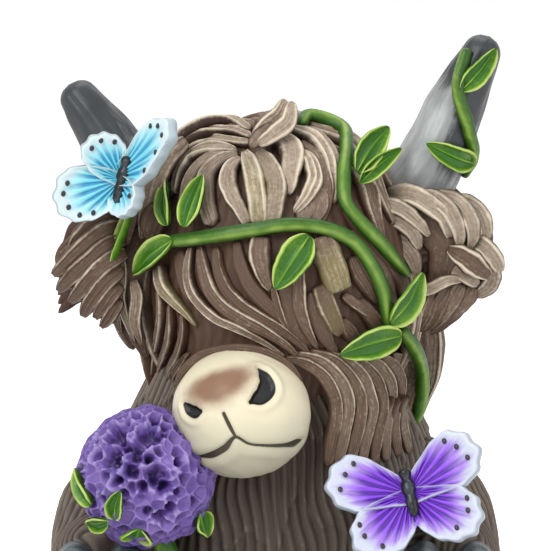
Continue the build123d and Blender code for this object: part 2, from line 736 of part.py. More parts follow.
# Butterflies: a plate in the outline of four wings, a body on it and a boss behind it
# Each outline runs from the body round a wing and back, in shares of the span
blue_broad_shares = [
    [
        (0, 0.14), (0.06, 0.25), (0.14, 0.29), (0.23, 0.28),
        (0.31, 0.22), (0.34, 0.12), (0.27, 0.02), (0, -0.06),
    ],
    [
        (0, 0.05), (0.2, 0.05), (0.32, 0.02), (0.42, -0.05), (0.45, -0.17),
        (0.42, -0.29), (0.33, -0.36), (0.21, -0.36), (0.1, -0.3), (0, -0.18),
    ],
]
blue_folded_shares = [
    [
        (0, 0.08), (0.09, 0.22), (0.14, 0.34), (0.22, 0.45), (0.34, 0.51), (0.46, 0.5),
        (0.49, 0.41), (0.43, 0.26), (0.36, 0.11), (0.26, 0.01), (0, -0.06),
    ],
    [(0, 0.04), (0.16, 0.03), (0.28, -0.02), (0.3, -0.13), (0.2, -0.24), (0.09, -0.25), (0, -0.15)],
]
purple_shares = [
    [
        (0, 0.08), (0.09, 0.16), (0.18, 0.24), (0.27, 0.31), (0.37, 0.33), (0.47, 0.27),
        (0.53, 0.16), (0.51, 0.06), (0.42, -0.03), (0.2, -0.06), (0, -0.08),
    ],
    [
        (0, 0.04), (0.2, 0), (0.36, -0.05), (0.44, -0.16), (0.44, -0.28),
        (0.36, -0.37), (0.22, -0.38), (0.1, -0.32), (0, -0.2),
    ],
]
body_middle_share = 0.5
body_profile_shares = [(0, 0.4), (0.25, 0.9), (0.7, 1), (0.88, 1.1), (1, 0.6)]


def butterfly(name, seat, span, sides, boss_length, carriers):
    # The seat's own Y runs up the body and its Z faces away from what carries it.
    # Each side has its sign, its fold and the outlines of its two wings.
    with BuildPart() as wings:
        for sign, fold, outlines in sides:
            wing_plane = seat.rotated((0, -sign * fold, 0))
            for outline in outlines:
                with BuildSketch(wing_plane):
                    with BuildLine():
                        Spline([(sign * across * span, up * span) for across, up in outline])
                        Line((0, outline[-1][1] * span), (0, outline[0][1] * span))
                    make_face()
                extrude(amount=wing_plate)
        with BuildSketch(seat.offset(wing_boss_sink)):
            Circle(butterfly_boss_radius)
        extrude(amount=-boss_length)
        for carrier in near(wings.part, carriers):
            add(carrier, mode=Mode.SUBTRACT)
    wings.part.label = f"{name}_butterfly_wings"
    export_step(wings.part, f"parts/{name}_butterfly_wings.step")
    rod_plane = Plane(
        origin=seat.from_local_coords((0, -butterfly_body_length * body_middle_share, wing_plate)),
        x_dir=seat.x_dir,
        z_dir=seat.y_dir,
    )
    with BuildPart() as rod:
        for rise, share in body_profile_shares:
            with BuildSketch(rod_plane.offset(butterfly_body_length * rise)):
                Circle(butterfly_body_radius * share)
        loft()
        add(wings.part, mode=Mode.SUBTRACT)
    rod.part.label = f"{name}_butterfly_body"
    export_step(rod.part, f"parts/{name}_butterfly_body.step")


blue_roll = radians(-15)
blue_sides = [(-1, 5, blue_broad_shares), (1, 50, blue_folded_shares)]
blue_seat = Plane(
    origin=on_head(-65.5, 30.5, blue_stand_off),
    x_dir=Vector(cos(blue_roll), 0, sin(blue_roll)),
    z_dir=Vector(0, -1, 0),
)
purple_roll = radians(14)
purple_sides = [(-1, 8, purple_shares), (1, 12, purple_shares)]
purple_tilt = -25
purple_seat = Plane(
    origin=wrists["left"] + Vector(-purple_aside, -purple_forward, purple_rise),
    x_dir=Vector(cos(purple_roll), 0, sin(purple_roll)),
    z_dir=Vector(0, -1, 0),
).rotated((purple_tilt, 0, 0))
butterfly(
    "blue", blue_seat, blue_span, blue_sides, blue_boss_length,
    [head_egg, horn_solids["right"], ears["right"]] + fringe + list(leaves.values()),
)
butterfly(
    "purple", purple_seat, purple_span, purple_sides, purple_boss_length,
    [torso, forelegs["left"], fore_hooves["left"], vines["cheek_vine"]] + cheek_solids["left"],
)
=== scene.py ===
import json
import math
import random

import bmesh
import bpy
import numpy as np
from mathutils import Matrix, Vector

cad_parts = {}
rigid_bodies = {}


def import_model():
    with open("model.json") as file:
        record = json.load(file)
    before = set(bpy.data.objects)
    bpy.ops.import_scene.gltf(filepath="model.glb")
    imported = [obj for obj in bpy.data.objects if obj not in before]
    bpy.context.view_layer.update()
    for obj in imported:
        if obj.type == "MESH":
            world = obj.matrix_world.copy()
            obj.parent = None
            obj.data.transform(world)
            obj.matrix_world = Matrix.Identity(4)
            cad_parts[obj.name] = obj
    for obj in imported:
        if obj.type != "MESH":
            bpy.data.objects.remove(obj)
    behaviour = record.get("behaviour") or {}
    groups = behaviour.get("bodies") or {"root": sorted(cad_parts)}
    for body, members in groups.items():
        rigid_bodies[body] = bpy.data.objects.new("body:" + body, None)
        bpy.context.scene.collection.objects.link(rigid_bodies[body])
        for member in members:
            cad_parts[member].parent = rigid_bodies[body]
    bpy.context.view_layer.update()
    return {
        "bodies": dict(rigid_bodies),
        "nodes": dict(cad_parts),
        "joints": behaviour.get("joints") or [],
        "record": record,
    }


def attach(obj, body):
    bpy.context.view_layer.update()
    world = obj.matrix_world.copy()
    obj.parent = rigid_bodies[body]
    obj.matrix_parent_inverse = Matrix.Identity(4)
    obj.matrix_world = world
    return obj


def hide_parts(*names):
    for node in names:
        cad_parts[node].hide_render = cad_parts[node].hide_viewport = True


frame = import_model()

# Seated shaggy young cow, cast in resin and painted. Metres, +Z up, the cow faces -Y.
# Tables are in millimetres and degrees, and mm turns them to metres.
mm = 0.001
chance = random.Random(11)


# Helpers for paint
def colour(red, green, blue):
    # Screen colour 0-255 to the linear values that a shader takes
    out = []
    for value in (red, green, blue):
        share = value / 255
        out.append(share / 12.92 if share <= 0.04045 else ((share + 0.055) / 1.055) ** 2.4)
    return (*out, 1.0)


class Wire:
    # A shader socket that takes part in plain Python maths
    def __init__(self, tree, socket):
        self.tree = tree
        self.socket = socket

    def maths(self, operation, *values):
        node = self.tree.nodes.new("ShaderNodeMath")
        node.operation = operation
        for slot, value in zip(node.inputs, values):
            if isinstance(value, Wire):
                self.tree.links.new(value.socket, slot)
            else:
                slot.default_value = value
        return Wire(self.tree, node.outputs[0])

    def __add__(self, other):
        return self.maths("ADD", self, other)

    def __radd__(self, other):
        return self.maths("ADD", other, self)

    def __sub__(self, other):
        return self.maths("SUBTRACT", self, other)

    def __rsub__(self, other):
        return self.maths("SUBTRACT", other, self)

    def __mul__(self, other):
        return self.maths("MULTIPLY", self, other)

    def __rmul__(self, other):
        return self.maths("MULTIPLY", other, self)

    def most(self, other):
        return self.maths("MAXIMUM", self, other)


class Finish:
    # One painted finish: a material and short ways to add its nodes
    def __init__(self, name, roughness=0.5, coat=0.0, specular=0.5):
        self.material = bpy.data.materials.new(name)
        self.material.use_nodes = True
        self.tree = self.material.node_tree
        self.shader = self.tree.nodes["Principled BSDF"]
        self.shader.inputs["Roughness"].default_value = roughness
        self.shader.inputs["Coat Weight"].default_value = coat
        self.shader.inputs["Specular IOR Level"].default_value = specular

    def node(self, kind, settings, values, output):
        made = self.tree.nodes.new(kind)
        for key, value in settings.items():
            setattr(made, key, value)
        for key, value in values.items():
            if isinstance(value, Wire):
                self.tree.links.new(value.socket, made.inputs[key])
            else:
                made.inputs[key].default_value = value
        return Wire(self.tree, made.outputs[output])

    def painted(self, *names):
        # The layers that the shapes carry on their vertices
        wires = [self.node("ShaderNodeAttribute", {"attribute_name": name}, {}, "Fac") for name in names]
        return wires if len(wires) > 1 else wires[0]

    def place(self):
        return self.node("ShaderNodeTexCoord", {}, {}, "Object")

    def vector(self, x, y, z):
        return self.node("ShaderNodeCombineXYZ", {}, {"X": x, "Y": y, "Z": z}, "Vector")

    def noise(self, vector, scale, detail=3.0, roughness=0.55):
        values = {"Vector": vector, "Scale": scale, "Detail": detail, "Roughness": roughness}
        return self.node("ShaderNodeTexNoise", {}, values, "Fac")

    def step(self, value, low, high):
        values = {"Value": value, "From Min": low, "From Max": high}
        return self.node("ShaderNodeMapRange", {"interpolation_type": "SMOOTHSTEP"}, values, "Result")

    def mix(self, first, second, share):
        return self.node("ShaderNodeMix", {"data_type": "RGBA"}, {6: first, 7: second, 0: share}, 2)

    def bump(self, height, strength, distance):
        values = {"Height": height, "Strength": strength, "Distance": distance}
        self.feed("Normal", self.node("ShaderNodeBump", {}, values, "Normal"))

    def feed(self, socket, wire):
        self.tree.links.new(wire.socket, self.shader.inputs[socket])


# Helpers for shapes. Each vertex carries these values for the paint.
layerNames = ("ridge", "along", "across", "tone", "gold", "rim")
fullTurn = 2 * math.pi


def unit(vectors):
    return vectors / np.maximum(np.linalg.norm(vectors, axis=-1, keepdims=True), 1e-12)


def always(x, y, z):
    # A facing that is the same everywhere
    return lambda places: np.broadcast_to(np.array([x, y, z], dtype=float), places.shape)


fromFront = always(0, -1, 0)
fromBehind = always(0, 1, 0)
fromAbove = always(0, 0, 1)


def curveAt(points, share):
    # Points on a smooth curve through the given ones, at shares of its length
    knots = np.array([tuple(point) for point in points], dtype=float)
    marks = np.concatenate(([0.0], np.cumsum(np.linalg.norm(np.diff(knots, axis=0), axis=1))))
    slopes = np.gradient(knots, marks, axis=0)
    reach = np.clip(share, 0, 1) * marks[-1]
    leg = np.clip(np.searchsorted(marks, reach, side="right") - 1, 0, len(marks) - 2)
    gap = (marks[leg + 1] - marks[leg])[:, None]
    f = (reach - marks[leg])[:, None] / gap
    start = knots[leg] * (2 * f**3 - 3 * f**2 + 1) + slopes[leg] * gap * (f**3 - 2 * f**2 + f)
    finish = knots[leg + 1] * (3 * f**2 - 2 * f**3) + slopes[leg + 1] * gap * (f**3 - f**2)
    return start + finish


def lengthOf(points):
    # The length of a row of points, in mm
    return float(np.linalg.norm(np.diff(np.array([tuple(p) for p in points]), axis=0), axis=1).sum()) / mm


def frameAlong(points, share, facing):
    # Places, sideways and outward directions at shares of a curve
    here = curveAt(points, share)
    along = unit(curveAt(points, share + 0.012) - curveAt(points, share - 0.012))
    side = unit(np.cross(along, facing(here)))
    return here, side, np.cross(side, along)


def roundLine(frame, turn, reach, flat=1.0):
    # Points at a distance round a line whose frame is given
    here, side, out = frame
    return here + side * (np.cos(turn) * reach)[:, None] + out * (np.sin(turn) * reach * flat)[:, None]


def eased(share, values):
    # Reads a short list of values at shares of its length, with soft corners
    place = np.clip(share, 0, 1) * (len(values) - 1)
    lower = np.minimum(place.astype(int), len(values) - 2)
    f = place - lower
    f = f * f * (3 - 2 * f) * 0.5 + f * 0.5
    listed = np.array(values, dtype=float)
    return listed[lower] * (1 - f) + listed[lower + 1] * f


def roundedEnds(share, first, last):
    # Closes both ends of a swept form over the given shares of its length
    head = np.sqrt(np.clip(1 - np.clip(1 - share / first, 0, 1) ** 2, 0, 1))
    tail = np.sqrt(np.clip(1 - np.clip(1 - (1 - share) / last, 0, 1) ** 2, 0, 1))
    return head * tail


def bell(values, width):
    return np.exp(-((values / width) ** 2))


def ripple(first, second, seed):
    # A soft repeatable wobble between -1 and 1 over two coordinates
    total = 0.0
    for turn in range(4):
        a = math.sin(seed * 12.9 + turn * 4.1) * 1.7
        b = math.cos(seed * 7.7 + turn * 2.3) * 1.7
        wave = first * a * (1 + turn * 0.6) + second * b * (1 + turn * 0.5) + seed * 3.1 + turn
        total = total + np.sin(wave)
    return total / 4


def ballWay(lon, lat):
    # The way out of a ball: lon turns from the face towards +X, lat climbs to the crown
    east, north = np.radians(lon), np.radians(lat)
    return np.stack([np.cos(north) * np.sin(east), -np.cos(north) * np.cos(east), np.sin(north)], axis=-1)


def ballAngles(ball):
    return np.degrees(np.arctan2(ball[:, 0], -ball[:, 1])), np.degrees(np.arcsin(np.clip(ball[:, 2], -1, 1)))


def overEgg(centre, half, lon, lat, lift):
    # Points over an egg shape whose sizes are in metres, with the lift in mm
    return centre + ballWay(lon, lat) * (half + np.asarray(lift)[..., None] * mm)


def startShape():
    shape = bmesh.new()
    for name in layerNames:
        shape.verts.layers.float.new(name)
    return shape


def placesOf(verts):
    return np.array([tuple(vert.co) for vert in verts])


def lay(shape, verts, positions, painted):
    # Moves the vertices to their places and writes the painted layers
    for vert, place in zip(verts, positions.tolist()):
        vert.co = place
    for name, values in painted.items():
        layer = shape.verts.layers.float[name]
        listed = np.broadcast_to(np.asarray(values, dtype=float), (len(verts),)).tolist()
        for vert, value in zip(verts, listed):
            vert[layer] = value


def wrapGrid(shape, columns, rows, place):
    # Wraps a grid round a form that place(u, v) gives, and closes its seam and its poles
    verts = bmesh.ops.create_grid(shape, x_segments=columns, y_segments=rows, size=1.0)["verts"]
    flat = placesOf(verts)
    u = (flat[:, 0] - flat[:, 0].min()) / np.ptp(flat[:, 0])
    v = (flat[:, 1] - flat[:, 1].min()) / np.ptp(flat[:, 1])
    lay(shape, verts, *place(u, v))
    bmesh.ops.remove_doubles(shape, verts=verts, dist=2e-6)


def wrapBall(shape, columns, rows, place):
    # Reshapes a ball by place(lon, lat)
    verts = bmesh.ops.create_uvsphere(shape, u_segments=columns, v_segments=rows, radius=1.0)["verts"]
    lay(shape, verts, *place(*ballAngles(placesOf(verts))))


def finishPiece(shape, name, finish, slotName, *nodes):
    # Turns the shape into an object that rides on the body and stands for its CAD nodes
    bmesh.ops.recalc_face_normals(shape, faces=shape.faces[:])
    mesh = bpy.data.meshes.new(name)
    shape.to_mesh(mesh)
    shape.free()
    mesh.polygons.foreach_set("use_smooth", [True] * len(mesh.polygons))
    mesh.materials.append(finish.material)
    piece = bpy.data.objects.new(name, mesh)
    bpy.context.scene.collection.objects.link(piece)
    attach(piece, "root")
    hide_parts(*nodes)


def hairLock(shape, points, facing, look):
    # A flat petal of hair: a raised rim along each edge and fine combed lines between them
    width = look.get("width", 2.0)
    depth = look.get("depth", 2.0) * mm
    firstRim, lastRim = look.get("rims", (0.9, 0.9))
    middle = look.get("middle", 0.0)
    fullness = look.get("fullness", (0.6, 0.95, 1, 0.9, 0.6, 0.2))
    seed = chance.uniform(0, 50)
    tone = look.get("tone", chance.uniform(0.3, 0.7)) + look.get("lighter", 0.0)
    gold = look.get("gold", 0.0)
    bend = look.get("bend", 0.0) * mm
    length = lengthOf(points)
    topShare = 0.84  # of the grid's rows, the others are the underside
    rimPlace, rimWidth = 0.70, 0.19

    def place(u, v):
        here, side, out = frameAlong(points, u, facing)
        top = v < topShare
        s = np.where(top, 1 - v / (topShare / 2), -1 + (v - topShare) / 0.08)
        full = eased(u, fullness) * roundedEnds(u, 0.05, 0.06)
        crown = np.sqrt(np.clip(1 - s**2, 0, 1))
        drift = 0.06 * ripple(u * 5, 0 * u, seed)
        fade = 0.6 + 0.4 * np.sin(math.pi * np.clip(u * 1.05, 0, 1))
        rim = firstRim * bell(s - rimPlace + drift, rimWidth) + lastRim * bell(s + rimPlace + drift, rimWidth)
        rim = (rim + middle * bell(s + 2 * drift, rimWidth)) * fade
        combed = np.sin(s * 15 + seed + 2.0 * ripple(u * 6, s, seed + 2))
        height = np.where(top, crown**0.55 * (0.64 + 0.36 * rim + 0.03 * combed), -0.5 * crown)
        sway = bend * np.sin(u * fullTurn + seed)
        edge = 1 + 0.07 * ripple(u * 9, s, seed + 5)
        spot = here + side * (s * width * mm * full * edge + sway * u)[:, None]
        spot = spot + out * (height * depth * full**0.5)[:, None]
        # The ridge layer is low at the lock's edges and underside, where the paint turns dark: a dark wash
        # that also stands in for the shade in the creases
        painted = {
            "ridge": np.where(top, np.clip(2.4 * (1 - np.abs(s)), 0, 1) * (0.8 + 0.2 * rim), 0),
            "along": u * length, "across": s * width, "tone": tone,
            "gold": gold * np.clip((u - 0.1) / 0.4, 0, 1), "rim": np.where(top, rim, 0),
        }
        return spot, painted

    wrapGrid(shape, int(min(64, max(20, length / 0.6))), look.get("rows", 34), place)


def roundSweep(shape, points, facing, radius, fullness, look):
    # A round or oval limb with shallow grooves along it
    seed, cut = look["seed"], look["cut"]
    length = lengthOf(points)

    def place(u, v):
        turn = v * fullTurn
        full = eased(u, fullness) * roundedEnds(u, *look.get("ends", (0.06, 0.06))) * radius * mm
        drift = look.get("drift", 0.35) * ripple(u * 6, np.cos(turn) * 2, seed) + look.get("twist", 0.0) * u
        sway = 2 * ripple(u * 11, np.sin(turn) * 3, seed + 3)
        wave = 0.5 + 0.5 * np.cos(look["grooves"] * (turn + drift) + sway)
        swell = 1 + look.get("lumps", 0.0) * ripple(u * 9, np.sin(turn + seed) * 2, seed + 8)
        reach = full * (1 - cut + cut * wave) * swell
        spot = roundLine(frameAlong(points, u, facing), turn, reach, look.get("flat", 1.0))
        painted = {
            "ridge": wave, "along": u * length, "across": turn * radius, "tone": look["tone"],
            "rim": look.get("rim", 0.5) * wave**3,
        }
        return spot, painted

    wrapGrid(shape, look["columns"], look["rows"], place)


# Finishes, from the hair to the plug
def hairFinish(name, dark, middle, warm, light, highlight):
    finish = Finish(name, roughness=0.55, specular=0.35)
    ridge, tone, along, across, gold, rim = finish.painted("ridge", "tone", "along", "across", "gold", "rim")
    strands = finish.noise(finish.vector(across * 3.4, along * 0.25, tone * 40), 1.0, 4.0)
    place = finish.place()
    patches = finish.noise(place, 70.0, 2.0)
    specks = finish.noise(place, 1300.0, 3.0, 0.65)
    brush = finish.noise(place, 380.0, 3.0)
    # Dark brown towards the edges of each lock: a dark wash, which also stands in for the shade in the
    # creases between locks
    body = finish.mix(dark, middle, finish.step(ridge + (strands - 0.5) * 0.35, 0.05, 0.75))
    shift = finish.step(tone + (patches - 0.5) * 0.5, 0.15, 0.8)
    body = finish.mix(finish.mix(body, warm, 0.55), body, shift)
    # A low tone darkens the paint: it differs from lock to lock, and the tables also set it for painted shade
    # on the chest and painted highlight on the crown
    body = finish.mix(body, dark, finish.step(tone, 0.95, 0.0) * 0.6)
    body = finish.mix(body, colour(128, 118, 76), gold * (0.55 + strands * 0.5))
    # Light dry-brush flecks on the ridges and cream lines along the rims; a high tone makes both stronger, so
    # on the crown they are also painted highlight
    worn = finish.step(strands * 0.6 + specks * 0.5 + tone * 0.16, 0.58, 0.82) * finish.step(ridge, 0.3, 0.9)
    body = finish.mix(body, light, worn * (highlight * 0.32))
    brushedAndLit = rim + (brush - 0.5) * 0.9 + (specks - 0.5) * 0.5 + (tone - 0.5) * 0.35
    body = finish.mix(body, light, finish.step(brushedAndLit, 0.22, 1.15) * highlight)
    finish.feed("Base Color", body)
    finish.feed("Roughness", 0.44 + strands * 0.25)
    finish.bump(strands + specks * 0.25, 0.5, 0.0003)
    return finish


def muzzleFinish():
    finish = Finish("muzzleCream", roughness=0.45, coat=0.05, specular=0.35)
    lines, low, blushed, hollow = finish.painted("ridge", "along", "gold", "tone")
    place = finish.place()
    cream = finish.mix(colour(238, 226, 194), colour(214, 207, 184), finish.noise(place, 60.0, 2.0))
    # Greyer towards the bottom: painted shade under the muzzle
    cream = finish.mix(cream, colour(178, 176, 152), finish.step(low, 0.0, 1.0) * 0.85)
    blush = finish.mix(colour(108, 62, 36), colour(128, 84, 56), finish.noise(place, 200.0, 3.0))
    nose = finish.step(blushed + (finish.noise(place, 260.0, 3.0) - 0.5) * 0.3, 0.1, 0.6)
    cream = finish.mix(cream, blush, nose * 0.9)
    cream = finish.mix(cream, colour(58, 52, 38), finish.step(lines, 0.35, 0.65))
    finish.feed("Base Color", finish.mix(cream, colour(8, 7, 8), finish.step(hollow, 0.35, 0.6)))
    finish.feed("Roughness", 0.38 + finish.noise(place, 300.0, 2.0) * 0.15)
    finish.bump(finish.noise(place, 500.0, 3.0), 0.15, 0.0002)
    return finish


def hornFinish():
    finish = Finish("hornGrey", roughness=0.45, coat=0.1)
    along, across, tone, dark = finish.painted("along", "across", "tone", "gold")
    streaks = finish.noise(finish.vector(across * 0.35, along * 0.07, tone * 9), 1.0, 5.0, 0.65)
    fine = finish.noise(finish.vector(across * 1.6, along * 0.12, tone * 5), 1.0, 4.0, 0.6)
    level = dark + (streaks - 0.5) * 0.75 + (fine - 0.5) * 0.25
    shade = finish.mix(colour(196, 200, 200), colour(142, 145, 144), finish.step(level, 0.0, 0.45))
    finish.feed("Base Color", finish.mix(shade, colour(34, 39, 44), finish.step(level, 0.45, 0.7)))
    finish.feed("Roughness", 0.36 + fine * 0.2)
    finish.bump(streaks + fine * 0.5, 0.4, 0.0004)
    return finish


def hoofFinish():
    finish = Finish("hoofSlate", roughness=0.4, coat=0.15)
    along, across, ridge = finish.painted("along", "across", "ridge")
    rings = finish.noise(finish.vector(across * 0.15, along * 1.2, 0.0), 1.0, 4.0)
    shade = finish.mix(colour(48, 58, 64), colour(92, 106, 112), finish.step(rings, 0.35, 0.7))
    worn = finish.step(rings + ridge * 0.3, 0.8, 1.0) * 0.5
    finish.feed("Base Color", finish.mix(shade, colour(140, 146, 144), worn))
    finish.feed("Roughness", 0.35 + rings * 0.2)
    finish.bump(rings, 0.4, 0.0003)
    return finish


def leafFinish(name, deep, middle, light):
    finish = Finish(name, roughness=0.48, coat=0.06, specular=0.35)
    ridge, along, across, tone = finish.painted("ridge", "along", "across", "tone")
    spots = finish.noise(finish.place(), 350.0, 3.0)
    veins = finish.noise(finish.vector(across * 1.2, along * 1.5, tone * 9), 1.0, 3.0)
    shade = finish.mix(deep, middle, finish.step(ridge + (veins - 0.5) * 0.6, 0.05, 0.6))
    shade = finish.mix(shade, light, finish.step(ridge + (spots - 0.5) * 0.5, 0.6, 1.05) * 0.9)
    finish.feed("Base Color", shade)
    finish.feed("Roughness", 0.34 + spots * 0.2)
    finish.bump(veins + spots * 0.4, 0.35, 0.0003)
    return finish


def wingFinish(name, deep, bright, pale, edge):
    finish = Finish(name, roughness=0.38, coat=0.15)
    rim, ray, tone, rays, dots = finish.painted("along", "across", "tone", "ridge", "gold")
    strokes = finish.noise(finish.vector(ray * 22.0, rim * 1.6, tone * 7), 1.0, 4.0, 0.6)
    level = rim + (strokes - 0.5) * 0.5
    shade = finish.mix(deep, bright, finish.step(rays + (strokes - 0.5) * 0.6, 0.2, 0.8))
    shade = finish.mix(shade, pale, finish.step(level, 0.5, 0.82) * 0.75)
    shade = finish.mix(shade, edge, finish.step(level, 0.72, 0.92))
    mottle = finish.noise(finish.place(), 260.0, 4.0)
    # The side of the plate is painted grey, as painted shade on its pale side
    shade = finish.mix(shade, colour(158, 170, 180), finish.step(rim, 1.08, 1.26) * 0.75)
    # Grey flecks near the edge of the top
    worn = finish.step(mottle, 0.55, 0.75) * finish.step(rim, 0.9, 1.1) * 0.5
    shade = finish.mix(shade, colour(142, 156, 168), worn)
    # The boss behind the wings is painted as the hair
    bark = finish.mix(colour(70, 56, 46), colour(112, 96, 82), strokes * 0.6 + mottle * 0.4)
    shade = finish.mix(shade, bark, finish.step(rim, 1.5, 1.7))
    shade = finish.mix(shade, colour(12, 14, 22), finish.step(dots, 0.4, 0.6))
    finish.feed("Base Color", shade)
    finish.feed("Roughness", 0.34 + mottle * 0.2)
    finish.bump(strokes, 0.4, 0.0003)
    return finish


def flowerFinish():
    finish = Finish("flowerPurple", roughness=0.45, coat=0.1)
    place = finish.place()
    grain = finish.noise(place, 420.0, 4.0)
    level = finish.painted("ridge") + (grain - 0.5) * 0.5
    shade = finish.mix(colour(40, 18, 82), colour(98, 71, 148), finish.step(level, 0.0, 0.4))
    patches = finish.step(finish.noise(place, 160.0, 3.0), 0.4, 0.7) * 0.6
    shade = finish.mix(shade, colour(130, 104, 174), patches)
    shade = finish.mix(shade, colour(168, 151, 208), finish.step(level, 0.6, 1.05) * 0.7)
    finish.feed("Base Color", shade)
    finish.feed("Roughness", 0.4 + grain * 0.25)
    finish.bump(grain, 0.5, 0.0004)
    return finish


def bodyBlackFinish():
    finish = Finish("bodyBlack", roughness=0.3, coat=0.15, specular=0.35)
    glow = finish.noise(finish.place(), 500.0, 2.0)
    lit = finish.step(glow + finish.painted("ridge") * 0.2, 0.6, 0.8)
    finish.feed("Base Color", finish.mix(colour(8, 9, 11), colour(46, 52, 60), lit))
    finish.feed("Roughness", 0.24 + glow * 0.2)
    return finish


def feltFinish():
    finish = Finish("feltGreen", roughness=0.95)
    fibre = finish.noise(finish.place(), 900.0, 6.0, 0.7)
    finish.feed("Base Color", finish.mix(colour(34, 52, 34), colour(62, 86, 60), fibre))
    finish.feed("Roughness", 0.85 + fibre * 0.15)
    finish.bump(fibre, 0.8, 0.0006)
    return finish


def rubberFinish():
    finish = Finish("plugRubber", roughness=0.6)
    grain = finish.noise(finish.place(), 700.0, 4.0)
    finish.feed("Base Color", finish.mix(colour(22, 22, 23), colour(48, 48, 50), grain))
    finish.feed("Roughness", 0.5 + grain * 0.3)
    finish.bump(grain, 0.3, 0.0003)
    return finish


hairColours = (colour(58, 42, 33), colour(134, 116, 100), colour(112, 76, 54), colour(222, 209, 186))
furColours = (colour(48, 39, 32), colour(116, 104, 94), colour(86, 70, 58), colour(160, 147, 130))
blueColours = (colour(50, 144, 190), colour(116, 210, 226), colour(182, 234, 238), colour(210, 228, 232))
purpleColours = (colour(76, 20, 152), colour(134, 62, 220), colour(182, 152, 232), colour(200, 206, 222))
hairPaint = hairFinish("paintedHair", *hairColours, 0.95)
furPaint = hairFinish("paintedFur", *furColours, 0.5)
leafPaint = leafFinish("leafGreen", colour(44, 98, 10), colour(94, 142, 26), colour(192, 210, 116))
stemPaint = leafFinish("stemGreen", colour(40, 80, 14), colour(72, 112, 26), colour(134, 162, 70))
muzzlePaint, hornPaint, hoofPaint = muzzleFinish(), hornFinish(), hoofFinish()
bluePaint, purplePaint = wingFinish("blueWing", *blueColours), wingFinish("purpleWing", *purpleColours)
flowerPaint, blackPaint = flowerFinish(), bodyBlackFinish()
feltPaint, rubberPaint = feltFinish(), rubberFinish()
print("finishes ready")

# Head
head = {"centre": (1.5, -6.0, 109.5), "half": (26.5, 25.0, 33.0), "grooves": 64, "grooveDepth": 0.3}
headCentre = np.array(head["centre"]) * mm
headHalf = np.array(head["half"]) * mm


def onHead(lon, lat, lift):
    return Vector(overEgg(headCentre, headHalf, float(lon), float(lat), float(lift)))


def offHead(places):
    return unit((places - headCentre) / headHalf**2)


# The photograph's view, so that strands can be laid along its pixels: metres, pixels, the lens in mm
view = {
    "tilt": math.radians(8), "aim": (0.0, -0.006, 0.112), "away": 0.5, "reach": 2500.0, "middle": 275.5,
    "camera": (0, -0.50113, 0.18159), "sensor": 36.0, "lens": 163.3,
}
ahead = np.array([0.0, math.cos(view["tilt"]), -math.sin(view["tilt"])])
above = np.array([0.0, math.sin(view["tilt"]), math.cos(view["tilt"])])
eye = np.array(view["aim"]) - ahead * view["away"]


def sightLine(x, y):
    right = np.array([1.0, 0.0, 0.0])
    return ahead * view["reach"] + right * (x - view["middle"]) + above * (view["middle"] - y)


def seenOnBall(centre, half, x, y):
    # Where the sight line of a pixel first meets an egg shape, or passes closest to it
    start, step = (eye - centre) / half, sightLine(x, y) / half
    a, b, c = step @ step, start @ step, start @ start - 1
    return Vector(eye + sightLine(x, y) * ((-b - math.sqrt(max(b * b - a * c, 0.0))) / a))


def seenAt(x, y, depth):
    # The point of a pixel's sight line that lies at a given Y, in mm
    line = sightLine(x, y)
    return Vector(eye + line * ((depth * mm - eye[1]) / line[1]))


def viewPath(rows, lift):
    # Rows of (pixel x, pixel y) or (pixel x, pixel y, extra lift) over the head
    return [seenOnBall(headCentre, headHalf + (lift + sum(row[2:])) * mm, row[0], row[1]) for row in rows]


def depthPath(rows):
    return [seenAt(*row) for row in rows]


def headPath(rows, lift):
    # Rows of (lon, lat) or (lon, lat, extra lift)
    return [onHead(row[0], row[1], lift + sum(row[2:])) for row in rows]


def headForm():
    shape = startShape()

    def place(lon, lat):
        wander = 3.5 * ripple(lon * 0.06, lat * 0.12, 2.0)
        wave = 0.5 + 0.5 * np.cos(np.radians(lon) * head["grooves"] + wander)
        fade = np.cos(np.radians(lat)) ** 0.5
        lift = 0.35 + head["grooveDepth"] * (wave - 0.5) * fade
        # The head under the locks is painted dark brown: a dark wash, which also stands in for the shade
        # between the locks
        painted = {"ridge": 0.12 + 0.26 * wave * fade, "along": lat * 0.5, "across": lon * 0.45, "tone": 0.2}
        return overEgg(headCentre, headHalf, lon, lat, lift), painted

    wrapBall(shape, 300, 140, place)
    finishPiece(shape, "headHair", hairPaint, "hair", "head_casting")


headForm()

